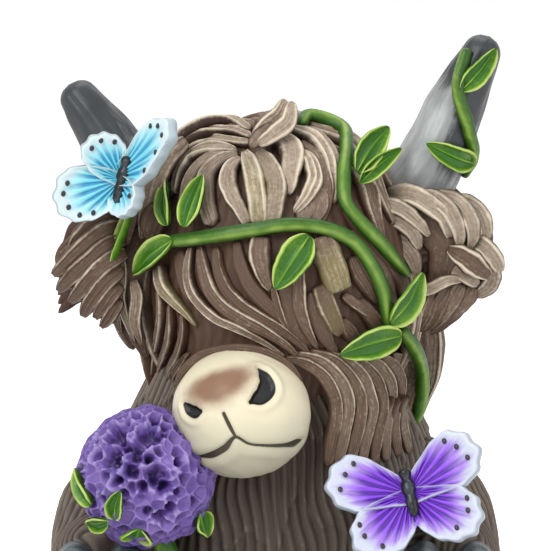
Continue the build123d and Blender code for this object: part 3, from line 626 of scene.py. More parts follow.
# Crown locks fall from a whorl over the right eye and end above the brow stem, by pixel
crownLocks = [
    {"path": [(251, 131, 0.2), (228, 121, 0.7), (207, 122, 0.7), (188, 131, 0.4), (171, 147, 0.1),
              (160, 166)], "width": 1.7, "tone": 0.65, "fullness": (0.5, 0.55, 0.6, 0.8, 1, 0.6)},
    {"path": [(252, 138, 0.2), (227, 132, 0.5), (204, 134, 0.5), (184, 144, 0.3), (168, 162),
              (157, 184)], "width": 1.7, "tone": 0.5, "fullness": (0.5, 0.55, 0.6, 0.8, 1, 0.6)},
    {"path": [(252, 145, 0.2), (228, 142, 0.3), (205, 145, 0.3), (187, 155, 0.2), (174, 172), (166, 194),
              (160, 218)], "width": 1.8, "tone": 0.6, "fullness": (0.5, 0.55, 0.65, 0.9, 1, 0.8, 0.5)},
    {"path": [(192, 150, -0.4), (174, 168, -0.3), (165, 190, -0.3), (160, 214, -0.3),
              (158, 234, -0.3)], "width": 2.5, "rims": (0.3, 0.3), "tone": 0.45},
    {"path": [(238, 151, 0.1), (208, 151, 0.4), (191, 161, 0.5), (182, 174, 0.4), (176, 194, 0.1)],
     "width": 1.9, "rims": (1.0, 0.9), "tone": 0.7, "fullness": (0.3, 0.8, 1, 1, 0.85, 0.4)},
    {"path": [(230, 156), (208, 162), (196, 174), (189, 192), (187, 216)],
     "width": 2.2, "rims": (0.3, 0.2), "tone": 0.5, "fullness": (0.4, 0.9, 1, 1, 0.9, 0.7)},
    {"path": [(240, 154, 0.1), (220, 163, 0.1), (209, 176, 0.1), (207, 196), (214, 226)],
     "width": 2.3, "rims": (0.85, 0.1), "tone": 0.4, "fullness": (0.3, 0.8, 1, 1, 0.9, 0.8)},
    {"path": [(243, 158, 0.2), (232, 169, 0.5), (229, 182, 0.6), (233, 196, 0.4), (242, 212, 0.2),
              (249, 226)],
     "width": 2.0, "rims": (1.0, 0.35), "tone": 0.6, "fullness": (0.4, 0.9, 1, 0.9, 0.7, 0.6)},
    {"path": [(245, 152, 0.2), (252, 169, 0.6), (256, 187, 0.6), (258, 205, 0.4), (260, 226)],
     "width": 2.1, "rims": (0.8, 1.0), "middle": 0.3, "gold": 0.9, "tone": 0.75,
     "fullness": (0.4, 0.85, 1, 1, 0.95, 0.9)},
    {"path": [(258, 152, 0.1), (270, 168, 0.4), (277, 188, 0.4), (275, 208, 0.1), (272, 226)],
     "width": 2.2, "rims": (0.1, 0.8), "tone": 0.5, "gold": 0.2, "fullness": (0.4, 0.9, 1, 1, 0.9, 0.8)},
    {"path": [(264, 143, 0.2), (284, 142, 0.9), (292, 153, 1.0), (291, 172, 0.7), (289, 196, 0.1)],
     "width": 2.4, "rims": (0.35, 1.0), "tone": 0.95, "fullness": (0.25, 0.8, 1.05, 1, 0.7, 0.3)},
    {"path": [(300, 151, 0.3), (311, 166, 0.7), (314, 181, 0.7), (307, 197, 0.5), (294, 214, 0.2)],
     "width": 1.7, "middle": 0.9, "tone": 0.85, "fullness": (0.4, 0.9, 1, 1, 0.8, 0.5)},
    {"path": [(302, 196, -0.2), (304, 212, -0.2), (300, 228, -0.2)],
     "width": 2.2, "rims": (0.2, 0.2), "tone": 0.3},
    {"path": [(316, 186, -0.2), (318, 206, -0.2), (312, 226, -0.2)],
     "width": 2.4, "rims": (0.2, 0.4), "tone": 0.2},
    {"path": [(292, 130, 0.5), (314, 138, 0.9), (328, 156, 0.5), (334, 178, 0.1), (334, 204)],
     "width": 2.3, "rims": (0.9, 0.4), "middle": 0.8, "tone": 0.6},
    {"path": [(300, 142, -0.2), (317, 155, 0.1), (325, 174), (326, 196, -0.2), (322, 224, -0.2)],
     "width": 2.2, "rims": (0.2, 0.2), "tone": 0.1},
]

# Locks beyond the edge of the bare head, by pixel and depth
outerLocks = [
    {"path": [(186, 140, -8), (168, 156, -11), (155, 180, -13.5), (147, 208, -14), (141, 240, -13)],
     "width": 2.6, "rims": (0.8, 0.5), "middle": 0.5, "tone": 0.6},
    {"path": [(172, 140, -6), (150, 162, -10), (138, 188, -12.5), (131, 214, -13), (127, 246, -12)],
     "width": 2.6, "rims": (0.8, 0.5), "middle": 0.4, "tone": 0.45},
    {"path": [(112, 250, -8), (112, 280, -9.5), (114, 305, -9.5), (121, 334, -8)],
     "width": 1.8, "rims": (0.8, 1), "tone": 0.7},
    {"path": [(120, 246, -11), (122, 275, -12.5), (121, 300, -12.5), (127, 321, -12),
              (135, 343, -11)], "width": 1.2, "rims": (1, 1), "tone": 1.0},
    {"path": [(134, 280, -12), (137, 298, -14), (135, 318, -14.5), (142, 346, -13.5)],
     "width": 1.5, "rims": (0.5, 1), "tone": 0.6},
    {"path": [(156, 142, -6), (138, 164, -10), (127, 190, -11), (120, 216, -11), (117, 248, -10)],
     "width": 2.6, "rims": (0.8, 0.5), "tone": 0.3},
    {"path": [(146, 226, -9), (138, 262, -10.5), (134, 296, -11), (138, 326, -10.5),
              (147, 360, -9)], "width": 3.6, "rims": (0.2, 0.2), "tone": 0.1},
    {"path": [(130, 222, -6), (123, 260, -7), (121, 292, -7.5), (125, 320, -7), (134, 350, -6)],
     "width": 3.4, "rims": (0.3, 0.2), "tone": 0.1},
    {"path": [(134, 226, -1), (126, 266, -1), (123, 302, -1), (133, 350, -1)],
     "width": 4.2, "depth": 4.0, "tone": 0.05},
    {"path": [(160, 206, -15), (153, 224, -16), (150, 242, -15)],
     "width": 2.8, "rims": (0.3, 0.3), "tone": 0.1},
]

# Locks round the sides of the crown, by angles
sideLocks = [
    {"path": [(40, 74, 0.2), (66, 58, 0.3), (58, 42, 0.2), (60, 25)], "width": 3.0, "middle": 0.7},
    {"path": [(50, 78, 0.2), (80, 62, 0.3), (78, 46, 0.1), (78, 28)], "width": 3.0, "middle": 0.7},
    {"path": [(70, 80, 0.2), (96, 64, 0.3), (98, 48, 0.1), (98, 30)], "width": 3.0, "middle": 0.7},
    {"path": [(34, 62, -0.2), (50, 44, -0.1), (47, 30), (48, 18)],
     "width": 2.8, "middle": 0.4, "tone": 0.3},
    {"path": [(-50, 74, 0.2), (-100, 66, 0.3), (-102, 50), (-100, 30)], "width": 3.0, "middle": 0.7},
    {"path": [(-60, 78, 0.2), (-120, 66, 0.3), (-120, 50), (-118, 30)], "width": 3.0, "middle": 0.7},
]

# The fringe below the brow stem, which sweeps over the face to the muzzle, by pixel
fringeLocks = [
    {"path": [(141, 294, 0.3), (145, 315, 0.4), (146, 338, 0.3), (148, 362, 0.2), (152, 388)],
     "width": 1.0, "tone": 0.65},
    {"path": [(161, 288, 0.3), (164, 312, 0.4), (162, 335, 0.3), (158, 354, 0.2), (153, 378)],
     "width": 1.0, "rims": (0.7, 1.0), "tone": 0.6},
    {"path": [(172, 303, 0.2), (173, 325, 0.3), (171, 342, 0.2), (165, 360, 0.1), (158, 384)],
     "width": 1.0, "rims": (0.5, 1.0), "tone": 0.6},
    {"path": [(184, 312, 0.2), (185, 332, 0.3), (181, 350, 0.2), (173, 366, 0.1), (165, 392)],
     "width": 1.0, "rims": (0.2, 1.0), "tone": 0.55},
    {"path": [(190, 352), (181, 366, 0.1), (174, 384, 0.1), (172, 404)], "width": 0.9, "tone": 0.5},
    {"path": [(161, 266, 0.6), (165, 286, 0.8), (177, 302, 0.7), (189, 315, 0.4), (198, 327, 0.1)],
     "width": 1.7, "gold": 0.7, "tone": 0.9, "fullness": (0.9, 1, 0.85, 0.65, 0.4, 0.15)},
    {"path": [(180, 250, -0.2), (185, 270, -0.2), (190, 290, -0.2), (204, 308, -0.2)],
     "width": 1.8, "rims": (0.3, 0.0), "tone": 0.1},
    {"path": [(193, 246, 0.1), (190, 270, 0.3), (193, 289, 0.4), (203, 304, 0.4), (217, 317, 0.4),
              (240, 328, 0.3), (264, 341, 0.2), (286, 356, 0.1)],
     "width": 1.15, "rims": (0.9, 1.0), "tone": 0.85},
    {"path": [(201, 246), (205, 270, 0.2), (212, 290, 0.3), (225, 306, 0.3), (244, 319, 0.2),
              (266, 331, 0.1), (290, 348), (304, 364)], "width": 1.8, "rims": (0.0, 0.95), "tone": 0.6},
    {"path": [(217, 246), (220, 271, 0.1), (228, 289, 0.1), (240, 303, 0.1), (257, 315, 0.1), (278, 327),
              (298, 342), (314, 360)], "width": 1.6, "rims": (0.0, 0.95), "tone": 0.2},
    {"path": [(237, 240), (242, 266), (250, 284), (262, 299), (277, 312), (294, 328), (312, 346)],
     "width": 1.7, "rims": (0.0, 0.45), "tone": 0.1},
    {"path": [(261, 236, 0.4), (260, 256, 0.7), (264, 275, 0.6), (271, 292, 0.2)],
     "width": 2.2, "rims": (1.0, 0.3), "tone": 0.75, "fullness": (0.9, 1, 1, 0.85, 0.6, 0.2)},
    {"path": [(273, 286, 0.1), (277, 303, 0.2), (282, 318, 0.1), (291, 334)],
     "width": 0.9, "rims": (0.2, 0.9), "tone": 0.5},
    {"path": [(283, 250, -0.2), (285, 280), (288, 305), (296, 330), (308, 350)],
     "width": 1.6, "rims": (0.0, 0.3), "tone": 0.3},
    {"path": [(298, 258, 0.1), (298, 285, 0.4), (299, 306, 0.4), (306, 328, 0.3), (318, 350)],
     "width": 1.6, "rims": (0.15, 1.0), "tone": 0.6},
    {"path": [(311, 290, -0.1), (316, 314), (326, 338), (338, 358)],
     "width": 1.9, "rims": (0.1, 0.1), "tone": 0.35},
    {"path": [(319, 284, 0.2), (325, 302, 0.7), (332, 319, 0.6), (341, 335, 0.2)],
     "width": 2.2, "rims": (0.8, 0.8), "gold": 0.45, "tone": 0.3, "fullness": (0.85, 1, 1, 0.95, 0.8, 0.4)},
    {"path": [(320, 236, 0.6), (327, 255, 1.1), (334, 273, 1.1), (340, 292, 0.8)],
     "width": 2.9, "depth": 2.2, "rims": (0.45, 0.45), "middle": 0.3, "gold": 1.0, "tone": 0.8,
     "fullness": (0.85, 1, 1, 1, 0.95, 0.85)},
    {"path": [(350, 256), (357, 272, 0.2), (368, 290, 0.1), (376, 304)],
     "width": 1.9, "rims": (0.6, 0.2), "tone": 0.35},
    {"path": [(366, 252), (376, 268, 0.1), (386, 286, 0.1), (394, 308)],
     "width": 2.0, "rims": (0.6, 0.3), "tone": 0.45},
    {"path": [(384, 258), (396, 276), (404, 298), (408, 322)],
     "width": 2.2, "rims": (0.5, 0.4), "tone": 0.3},
    {"path": [(356, 300), (368, 314, 0.1), (380, 332, 0.1), (388, 350)],
     "width": 1.8, "rims": (0.5, 0.5), "tone": 0.4},
    {"path": [(340, 318), (350, 334, 0.1), (362, 350)], "width": 1.6, "rims": (0.4, 0.6), "tone": 0.35},
    {"path": [(384, 304), (396, 322), (406, 344), (410, 366)],
     "width": 2.2, "rims": (0.4, 0.6), "tone": 0.35},
    {"path": [(341, 294), (354, 304, 0.3), (372, 317, 0.2)], "width": 1.2, "rims": (0.8, 0.2), "tone": 0.6},
    {"path": [(346, 232), (358, 246), (372, 268), (384, 300)],
     "width": 2.2, "rims": (0.2, 0.4), "tone": 0.25},
    {"path": [(344, 206), (356, 222), (376, 246), (396, 270), (404, 300)],
     "width": 2.4, "rims": (0.3, 0.4), "tone": 0.2},
]

# The muzzle's egg shape, and the strand that hugs its top
muzzleCentre = np.array((-6.5, -33.5, 89.5)) * mm
muzzleHalf = np.array((13.2, 13.5, 12.4)) * mm
overMuzzleStrand = {
    "path": [(174, 388), (183, 370), (198, 357), (220, 350), (244, 349), (268, 354), (288, 365), (303, 382)],
    "width": 1.1, "depth": 1.3, "rims": (0.5, 0.3), "tone": 0.1, "fullness": (0.3, 0.8, 1, 1, 1, 1, 0.8, 0.3),
}


def crownPieces():
    shape = startShape()
    for row in crownLocks:
        # The crown locks are painted lighter, as painted highlight where they face up, and the fringe locks
        # below are painted darker
        hairLock(shape, viewPath(row["path"], 0.8), offHead, {**row, "lighter": 0.3})
    for row in sideLocks:
        hairLock(shape, headPath(row["path"], 0.6), offHead, row)
    for row in fringeLocks:
        hairLock(shape, viewPath(row["path"], 0.6), offHead, {**row, "lighter": -0.34})
    for row in outerLocks:
        hairLock(shape, depthPath(row["path"]), fromFront, row)
    muzzleTop = [seenOnBall(muzzleCentre, muzzleHalf + 0.2 * mm, x, y) for x, y in overMuzzleStrand["path"]]
    hairLock(shape, muzzleTop, fromFront, overMuzzleStrand)
    finishPiece(shape, "foreheadLocks", hairPaint, "hair", "forelock")


crownPieces()

# The tuft that stands up from the whorl, by pixel and depth
curlLocks = [
    {"path": [(252, 137, -21), (265, 124, -20), (279, 112, -18.5), (285, 99, -17)],
     "width": 1.6, "tone": 0.7},
    {"path": [(257, 145, -22), (274, 133, -21.5), (288, 121, -20), (292, 101, -18)],
     "width": 1.9, "tone": 0.9},
    {"path": [(250, 148, -22), (256, 140, -21.5), (268, 131, -20.5), (280, 122, -19)],
     "width": 1.8, "rims": (0.2, 0.2), "tone": 0.15},
]


def crownCurl():
    shape = startShape()
    for row in curlLocks:
        # The tuft is painted lighter, as painted highlight on its top
        look = {**row, "fullness": (0.45, 0.8, 1, 1, 0.8, 0.38), "depth": 2.0, "lighter": 0.35}
        hairLock(shape, depthPath(row["path"]), fromFront, look)
    finishPiece(shape, "crownTuft", hairPaint, "hair", "crown_curl")


crownCurl()

# Fine strands curve round the muzzle and run down to the chest: pixels on the head, then pixels past it
faceStrands = [
    ([(286, 357), (306, 362, 0.3), (322, 374, 1.2), (331, 388, 2.6)],
     [(335, 404), (334, 422), (330, 442), (327, 466)]),
    ([(297, 352), (320, 360, 0.3), (335, 373, 1.2), (344, 388, 2.6)],
     [(347, 404), (344, 424), (340, 444), (336, 468)]),
    ([(310, 350), (332, 359, 0.3), (347, 373, 1.2), (356, 388, 2.6)],
     [(359, 404), (357, 424), (352, 444), (349, 468)]),
    ([(328, 352), (348, 362, 0.3), (361, 376, 1.2), (367, 391, 2.6)],
     [(370, 406), (367, 425), (362, 445), (360, 468)]),
    ([(348, 354), (364, 366, 0.3), (375, 380, 1.2), (379, 394, 2.4)],
     [(380, 409), (376, 428), (373, 447), (372, 466)]),
    ([(366, 355), (381, 369, 0.3), (388, 383, 1.2), (389, 397, 2.2)],
     [(386, 412), (383, 429), (383, 446), (385, 462)]),
    ([(380, 354), (393, 367, 0.3), (398, 381, 1.2), (397, 395, 2.0)],
     [(393, 410), (391, 427), (394, 443), (397, 458)]),
    ([(392, 353), (404, 366, 0.3), (407, 380, 1.2), (405, 394, 2.0)],
     [(400, 408), (400, 424), (404, 440), (408, 454)]),
]

# The outline of the left cheek, by pixel and depth
cheekEdge = [
    {"path": [(410, 292, -9), (416, 318, -10), (418, 346, -10), (414, 376, -10), (406, 404, -11),
              (404, 428, -12)], "width": 2.6, "rims": (0.5, 0.5), "tone": 0.3},
    {"path": [(421, 300, -5), (431, 324, -6), (433, 350, -6), (430, 378, -6), (422, 404, -7),
              (417, 426, -8)], "width": 2.2, "rims": (0.4, 0.9), "tone": 0.55},
    {"path": [(414, 296, -2), (426, 324, -2), (428, 354, -2), (422, 388, -3), (412, 420, -4)],
     "width": 3.6, "depth": 4.0, "tone": 0.15},
]


def chestDepth(x, y):
    # How far forward the face strands hang over the chest, by pixel
    return -29.6 + 0.0019 * (x - 325) ** 2 - 0.025 * (y - 430)


def frontStrands(shape):
    fullness = (0.5, 1, 1, 1, 1, 1, 0.7)
    look = {"width": 1.45, "depth": 1.8, "rims": (0.2, 0.9), "fullness": fullness, "rows": 26}
    for number, (onFace, past) in enumerate(faceStrands):
        points = viewPath(onFace, 0.8) + [seenAt(x, y, chestDepth(x, y)) for x, y in past]
        # A low tone paints the strands darker, as painted shade under the muzzle
        hairLock(shape, points, offHead, {**look, "tone": 0.25 + 0.2 * (number % 2)})
    for row in cheekEdge:
        hairLock(shape, depthPath(row["path"]), fromFront, row)


def cheekLocks(side, sign):
    # Only the left cheek shows in front, and the right one has no lock at 66 degrees
    shape = startShape()
    if side == "left":
        frontStrands(shape)
    for number, lon in enumerate((66, 78, 90, 102)):
        rows = [(lon, 8), (lon + 3, -6, 0.3), (lon + 1, -20, 0.3), (lon - 3, -36)]
        if side == "left" or lon > 66:
            look = {"width": 2.4, "middle": 0.7, "bend": 0.4, "tone": 0.35 + 0.1 * number}
            hairLock(shape, headPath([(sign * row[0], *row[1:]) for row in rows], 0.5), offHead, look)
    finishPiece(shape, side + "CheekHair", hairPaint, "hair", side + "_cheek_locks")


cheekLocks("left", 1)
cheekLocks("right", -1)

# Locks down the back of the head: an upper row from the whorl and a lower row that starts under it
mane = {
    "upper": {"width": 3.9, "middle": 0.5, "rims": (0.8, 0.5), "depth": 2.6, "bend": 0.8,
              "fullness": (0.3, 0.6, 0.95, 1, 0.9, 0.3)},
    "lower": {"width": 3.4, "middle": 0.4, "rims": (0.7, 0.5), "depth": 2.4, "bend": 0.8},
    "upperTone": (0.2, 0.7), "lowerTone": (0.15, 0.6), "step": 14,
}


def backMane():
    shape = startShape()
    for number, lon in enumerate(range(108, 256, mane["step"])):
        low = number % 2
        start = [onHead(-18, 70, 0.5), onHead(lon, 80, 1.2)] if 130 < lon < 240 else [onHead(lon, 74, 0.8)]
        rows = [(lon, 60, 0.6), (lon + 2, 40, 0.8), (lon - 1, 12, 0.8), (lon + 1, -20 - 4 * low, 0.3)]
        look = {**mane["upper"], "tone": chance.uniform(*mane["upperTone"])}
        hairLock(shape, start + headPath(rows, 0.4 + 0.4 * low), offHead, look)
    for lon in range(115, 252, mane["step"]):
        rows = [(lon, 20, 0.4), (lon - 2, 0, 0.7), (lon, -20, 0.6), (lon + 2, -42, 0.2)]
        look = {**mane["lower"], "tone": chance.uniform(*mane["lowerTone"])}
        hairLock(shape, headPath(rows, 0.3), offHead, look)
    finishPiece(shape, "backMane", hairPaint, "hair", "back_mane")


backMane()
print("head hair ready")

# Muzzle: its lines are in degrees over the egg shape and its line widths in mm
muzzle = {
    "nostrils": [
        {"line": [(24, 51), (28, 43), (28, 35), (22, 27.5), (9, 21)], "widths": (0.3, 1.3, 1.8, 1.5, 0.4)},
        {"line": [(-54, 14), (-48, 11), (-41, 9.5), (-35, 11)], "widths": (0.5, 1.1, 1.2, 0.4)},
    ],
    "lips": [
        {"line": [(-48, -35), (-31, -31), (-14, -21), (-4, -10), (7, -16.5), (20, -19), (35, -21), (54, -22),
                  (75, -22.5)], "widths": (0.35, 0.75, 0.7, 0.35, 0.3, 0.35, 0.5, 0.9, 0.3)},
        {"line": [(-14, 11), (-9, 0.5), (-4, -10)], "widths": (0.35, 0.4, 0.3)},
    ],
    "nose": (-27, 36), "noseSpread": (36, 20), "noseLift": 0.9, "nostrilRim": 0.45, "nostrilDepth": 1.5,
    "lipDepth": 0.55, "lipSwell": 0.35,
}


def overMuzzle(lon, lat, lift):
    return overEgg(muzzleCentre, muzzleHalf, lon, lat, lift)


def nearLine(places, mark):
    # Distance from each place to a drawn line, less the line's half width there, in mm
    shares = np.linspace(0, 1, 60)
    line = curveAt([overMuzzle(float(lon), float(lat), 0.0) for lon, lat in mark["line"]], shares)
    half = eased(shares, mark["widths"])
    gaps = np.linalg.norm(places[:, None, :] - line[None, :, :], axis=2) / mm - half[None, :]
    return gaps.min(axis=1)


def muzzleForm():
    shape = startShape()
    verts = bmesh.ops.create_uvsphere(shape, u_segments=230, v_segments=150, radius=1.0)["verts"]
    ball = placesOf(verts)
    ball = np.stack([ball[:, 0], -ball[:, 2], ball[:, 1]], axis=1)  # the fine pole looks forward
    lon, lat = ballAngles(ball)
    places = overMuzzle(lon, lat, np.zeros(len(lon)))
    holes = np.minimum(*[nearLine(places, mark) for mark in muzzle["nostrils"]])
    lips = np.minimum(*[nearLine(places, mark) for mark in muzzle["lips"]])
    noseLon, noseLat = muzzle["nose"]
    spreadLon, spreadLat = muzzle["noseSpread"]
    aside = (lon - noseLon) * np.cos(np.radians(lat)) / spreadLon
    higher = (lat - noseLat - 0.25 * (lon - noseLon)) / spreadLat
    nose = np.exp(-(aside**2) - higher**2)
    front = np.clip(-ball[:, 1], 0, 1)
    lift = muzzle["noseLift"] * nose**0.7 * front
    lift = lift + muzzle["nostrilRim"] * bell(holes - 0.9, 0.8)
    lift = lift - muzzle["nostrilDepth"] * np.clip(0.35 - holes, 0, 1) * front
    lift = lift - muzzle["lipDepth"] * bell(np.clip(lips + 0.25, 0, 9), 0.45)
    lift = lift + muzzle["lipSwell"] * bell(lips - 1.6, 1.2) * np.clip((-lat) / 25, 0, 1)
    lift = lift + 0.12 * ripple(lon * 0.05, lat * 0.06, 4.0)
    # The along layer paints the cream greyer towards the bottom of the muzzle, as painted shade underneath
    painted = {
        "ridge": np.clip(0.5 - lips * 1.6, 0, 1), "tone": np.clip(0.5 - holes * 1.6, 0, 1),
        "gold": nose * front, "along": np.clip(0.35 - lat / 50, 0, 1),
    }
    lay(shape, verts, overMuzzle(lon, lat, lift), painted)
    finishPiece(shape, "muzzleCap", muzzlePaint, "muzzle", "muzzle")


muzzleForm()
print("muzzle ready")

# Horns
horns = {
    "left": {"root": (99, 26), "spread": 28.6, "lean": 6.8, "length": 42.5, "seed": 3.0, "outward": 1},
    "right": {"root": (-99, 26), "spread": -39.5, "lean": -5.0, "length": 35.5, "seed": 9.0, "outward": -1},
    "radius": 8.0, "fullness": (1, 0.92, 0.84, 0.76, 0.6, 0.42), "sink": 3.5, "flutes": 9,
    "bow": ((0, 0), (0.3, 0.045), (0.65, 0.02), (1, 0)),
}


def hornPath(side):
    size = horns[side]
    spread, lean = math.radians(size["spread"]), math.radians(size["lean"])
    length = size["length"] * mm
    root = onHead(*size["root"], -horns["sink"])
    up = Vector((math.sin(spread) * math.cos(lean), -math.sin(lean), math.cos(spread)))
    bend = Vector((math.cos(spread), 0, -math.sin(spread))) * size["outward"]
    return [root + up * length * rise + bend * length * bow for rise, bow in horns["bow"]]


def horn(side):
    shape = startShape()
    points = hornPath(side)
    seed = horns[side]["seed"]

    def place(u, v):
        turn = v * fullTurn
        tip = np.sqrt(np.clip(1 - np.clip((u - 0.93) / 0.07, 0, 1) ** 2, 0, 1))
        sway = 2.5 * ripple(u * 3, np.cos(turn) * 1.5, seed)
        flutes = 0.5 + 0.5 * np.cos(horns["flutes"] * turn + sway)
        reach = horns["radius"] * mm * eased(u, horns["fullness"]) * tip * (0.965 + 0.035 * flutes)
        reach = reach * (1 + 0.05 * ripple(u * 8, np.sin(turn) * 2, seed + 1))
        # The left horn is darkest on its outer side, the right one towards its tip
        if side == "left":
            outer = np.clip(1.5 * np.cos(turn) + 0.45, 0, 1) * np.clip(u * 4 - 0.9, 0, 1)
            dark = 0.27 + 0.62 * outer + 2.4 * np.clip(u - 0.6, 0, 1)
        else:
            dark = 0.9 - 0.36 * np.cos(turn) + 0.4 * (u - 0.5)
        painted = {"along": u * 40, "across": turn * 6, "tone": seed * 0.05, "gold": dark}
        return roundLine(frameAlong(points, u, fromFront), turn, reach), painted

    wrapGrid(shape, 90, 110, place)
    finishPiece(shape, side + "Horn", hornPaint, "horn", side + "_horn")


horn("left")
horn("right")
print("horns ready")

# Ears: a flat core under strands that roll over the top edge, by pixel and depth
ears = {
    "left": {
        "spine": [(387, 238, -9), (430, 237, -9.5), (468, 246, -7.5), (480, 264, -6)],
        "radius": 8.9, "flat": 0.5, "lighter": 0.5, "fullness": (0.85, 1, 0.8, 0.4),
        "locks": [
            {"path": [(405, 216, -13.5), (432, 226, -14), (446, 246, -14), (444, 272, -13.5),
                      (430, 296, -12.5)], "width": 3.4, "rims": (0, 0), "tone": -0.35},
            {"path": [(368, 212, -13), (386, 204, -15.5), (402, 209, -16.5), (417, 221, -16.5),
                      (430, 236, -15.5)], "width": 1.5, "rims": (0.9, 0.5), "tone": 0.7},
            {"path": [(376, 222, -13), (396, 219, -15.5), (411, 230, -16), (420, 250, -15.5)],
             "width": 1.7, "rims": (0.7, 0.3), "tone": 0.45},
            {"path": [(384, 240, -12.5), (400, 242, -14.5), (412, 256, -15), (417, 276, -14.5)],
             "width": 1.8, "rims": (0.5, 0.3), "tone": 0.2},
            {"path": [(396, 262, -12), (408, 272, -13.5), (414, 290, -14), (414, 308, -13)],
             "width": 1.9, "rims": (0.4, 0.3), "tone": 0.1},
            {"path": [(388, 193, -12.5), (411, 194, -15.5), (428, 203, -16.5), (443, 216, -16.5),
                      (450, 238, -15)], "width": 1.9, "rims": (1, 0.6), "tone": 0.75},
            {"path": [(418, 195, -13), (438, 200, -16), (451, 213, -16.5), (458, 229, -16),
                      (460, 248, -15)], "width": 1.7, "rims": (0.9, 0.5), "tone": 0.65},
            {"path": [(438, 194, -12), (458, 203, -15), (469, 217, -15.5), (473, 234, -14.5),
                      (469, 250, -14)], "width": 1.7, "rims": (0.9, 0.4), "tone": 0.8},
            {"path": [(456, 198, -11), (476, 209, -13), (484, 222, -13), (485, 234, -12.5),
                      (477, 244, -12.5)], "width": 1.7, "rims": (1, 0.5), "tone": 0.8},
            {"path": [(448, 248, -15), (461, 255, -16.4), (475, 265, -16), (489, 276, -13.5)],
             "width": 2.1, "rims": (1.5, 1.2), "tone": -0.3, "fullness": (0.3, 0.9, 1.1, 0.8, 0.4)},
            {"path": [(474, 240, -12), (486, 248, -13.5), (494, 258, -13), (500, 271, -10.5)],
             "width": 1.7, "tone": 0.8},
            {"path": [(484, 262, -11), (492, 272, -11), (488, 286, -10.5), (474, 296, -10)],
             "width": 1.7, "rims": (0.9, 0.4), "tone": 0.45},
            {"path": [(452, 268, -14), (466, 276, -14), (478, 284, -12.5)],
             "width": 1.5, "rims": (0.7, 0.4), "tone": 0.3},
            {"path": [(412, 291, -13), (430, 288, -15), (447, 280, -15.5), (463, 279, -13.5)],
             "width": 1.2, "rims": (0.8, 0.5), "tone": 0.7},
            {"path": [(474, 286, -11), (464, 300, -12), (452, 312, -12), (440, 320, -11)],
             "width": 1.6, "rims": (0.5, 0.4), "tone": -0.15},
            {"path": [(462, 282, -12.5), (452, 300, -13), (441, 315, -12.5), (430, 328, -11)],
             "width": 1.6, "rims": (0.6, 0.4), "tone": -0.05},
            {"path": [(449, 286, -13), (440, 303, -13.5), (433, 318, -12.5), (424, 330, -11)],
             "width": 1.5, "rims": (0.5, 0.4), "tone": -0.2},
            {"path": [(436, 290, -13), (430, 306, -13.5), (424, 320, -12.5), (416, 332, -11)],
             "width": 1.4, "rims": (0.6, 0.4), "tone": -0.1},
            {"path": [(422, 290, -13), (417, 306, -13.5), (411, 320, -12.5)],
             "width": 1.3, "rims": (0.5, 0.4), "tone": -0.2},
            {"path": [(474, 262, -9), (455, 288, -9.5), (434, 314, -9), (420, 330, -8)],
             "width": 4.2, "depth": 3.0, "rims": (0, 0), "tone": -0.4, "fullness": (0.8, 1, 0.9, 0.5)},
            {"path": [(424, 262, -10), (418, 288, -10.5), (414, 314, -9)],
             "width": 3.6, "depth": 3.0, "rims": (0, 0), "tone": -0.4, "fullness": (0.8, 1, 0.9, 0.5)},
        ],
    },
    "right": {
        "spine": [(124, 258, -9.5), (100, 262, -10), (80, 271, -8), (64, 282, -6)],
        "radius": 8.0, "flat": 0.5, "lighter": -0.6, "fullness": (1, 1, 0.85, 0.5),
        "locks": [
            {"path": [(116, 214, -11), (98, 222, -13), (84, 234, -13), (70, 252, -11)],
             "width": 2.0, "tone": 0.6},
            {"path": [(124, 224, -12), (104, 231, -14.5), (86, 245, -14.5), (68, 262, -12.5),
                      (53, 275, -9.5)], "width": 1.9, "tone": 0.75},
            {"path": [(126, 238, -13), (106, 246, -15), (90, 260, -15), (72, 276, -13),
                      (58, 291, -9.5)], "width": 1.9, "tone": 0.5},
            {"path": [(126, 252, -13.5), (110, 260, -15.5), (95, 273, -15), (81, 290, -13),
                      (70, 302, -10.5)], "width": 1.8, "tone": 0.7},
            {"path": [(124, 268, -14), (111, 277, -15), (99, 290, -14.5), (89, 304, -13),
                      (83, 316, -10.5)], "width": 1.7, "tone": 0.45},
            {"path": [(122, 284, -14), (112, 294, -14.8), (104, 305, -13.5), (95, 318, -11.5)],
             "width": 1.5, "tone": 0.65},
            {"path": [(121, 298, -14), (114, 309, -14), (107, 320, -12), (101, 327, -11)],
             "width": 1.3, "tone": 0.5},
        ],
    },
}


def ear(side, sign):
    shape = startShape()
    parts = ears[side]
    spine = depthPath(parts["spine"])
    core = {"grooves": 20, "cut": 0.08, "flat": parts["flat"], "tone": 0.1, "seed": 4.0 + sign, "drift": 0.2,
            "columns": 60, "rows": 120, "ends": (0.1, 0.2), "rim": 0.1}
    roundSweep(shape, spine, fromFront, parts["radius"], parts["fullness"], core)
    for row in parts["locks"]:
        look = {"depth": 1.9, "fullness": (0.6, 1, 1, 0.95, 0.75, 0.35), "lighter": parts["lighter"], **row}
        look["width"] = 1.16 * row["width"]
        hairLock(shape, depthPath(row["path"]), fromFront, look)
    # Plain strands behind
    root, middle, tip = [Vector(place) for place in curveAt(spine, np.array([0.0, 0.5, 1.0]))]
    for number in range(6):
        rise = 8.0 - 3.0 * number
        start = root + Vector((0, 2.5, rise)) * mm
        second = middle + Vector((sign, 4.8, rise * 0.9 + 1)) * mm
        last = tip + Vector((sign * 1.5, 2.4, rise * 0.6 - 2.5)) * mm
        hairLock(shape, [start, second, last], fromBehind, {"width": 2.2, "depth": 1.6, "tone": 0.4})
    finishPiece(shape, side + "Ear", hairPaint, "hair", side + "_ear")


ear("left", 1)
ear("right", -1)
print("ears ready")

# Torso: sections are height, half width and half depth
torso = {
    "sections": [(1.5, 40, 34), (25.5, 43, 36.5), (55.5, 38, 32.5), (79.5, 31, 26.5), (97.5, 23, 21)],
    "lean": 5.0, "collar": 96.0, "ribs": 16, "ribDepth": 0.6, "grooves": 108, "grooveDepth": 0.7,
    "tuftDepth": 0.6, "endBand": 0.06,
}


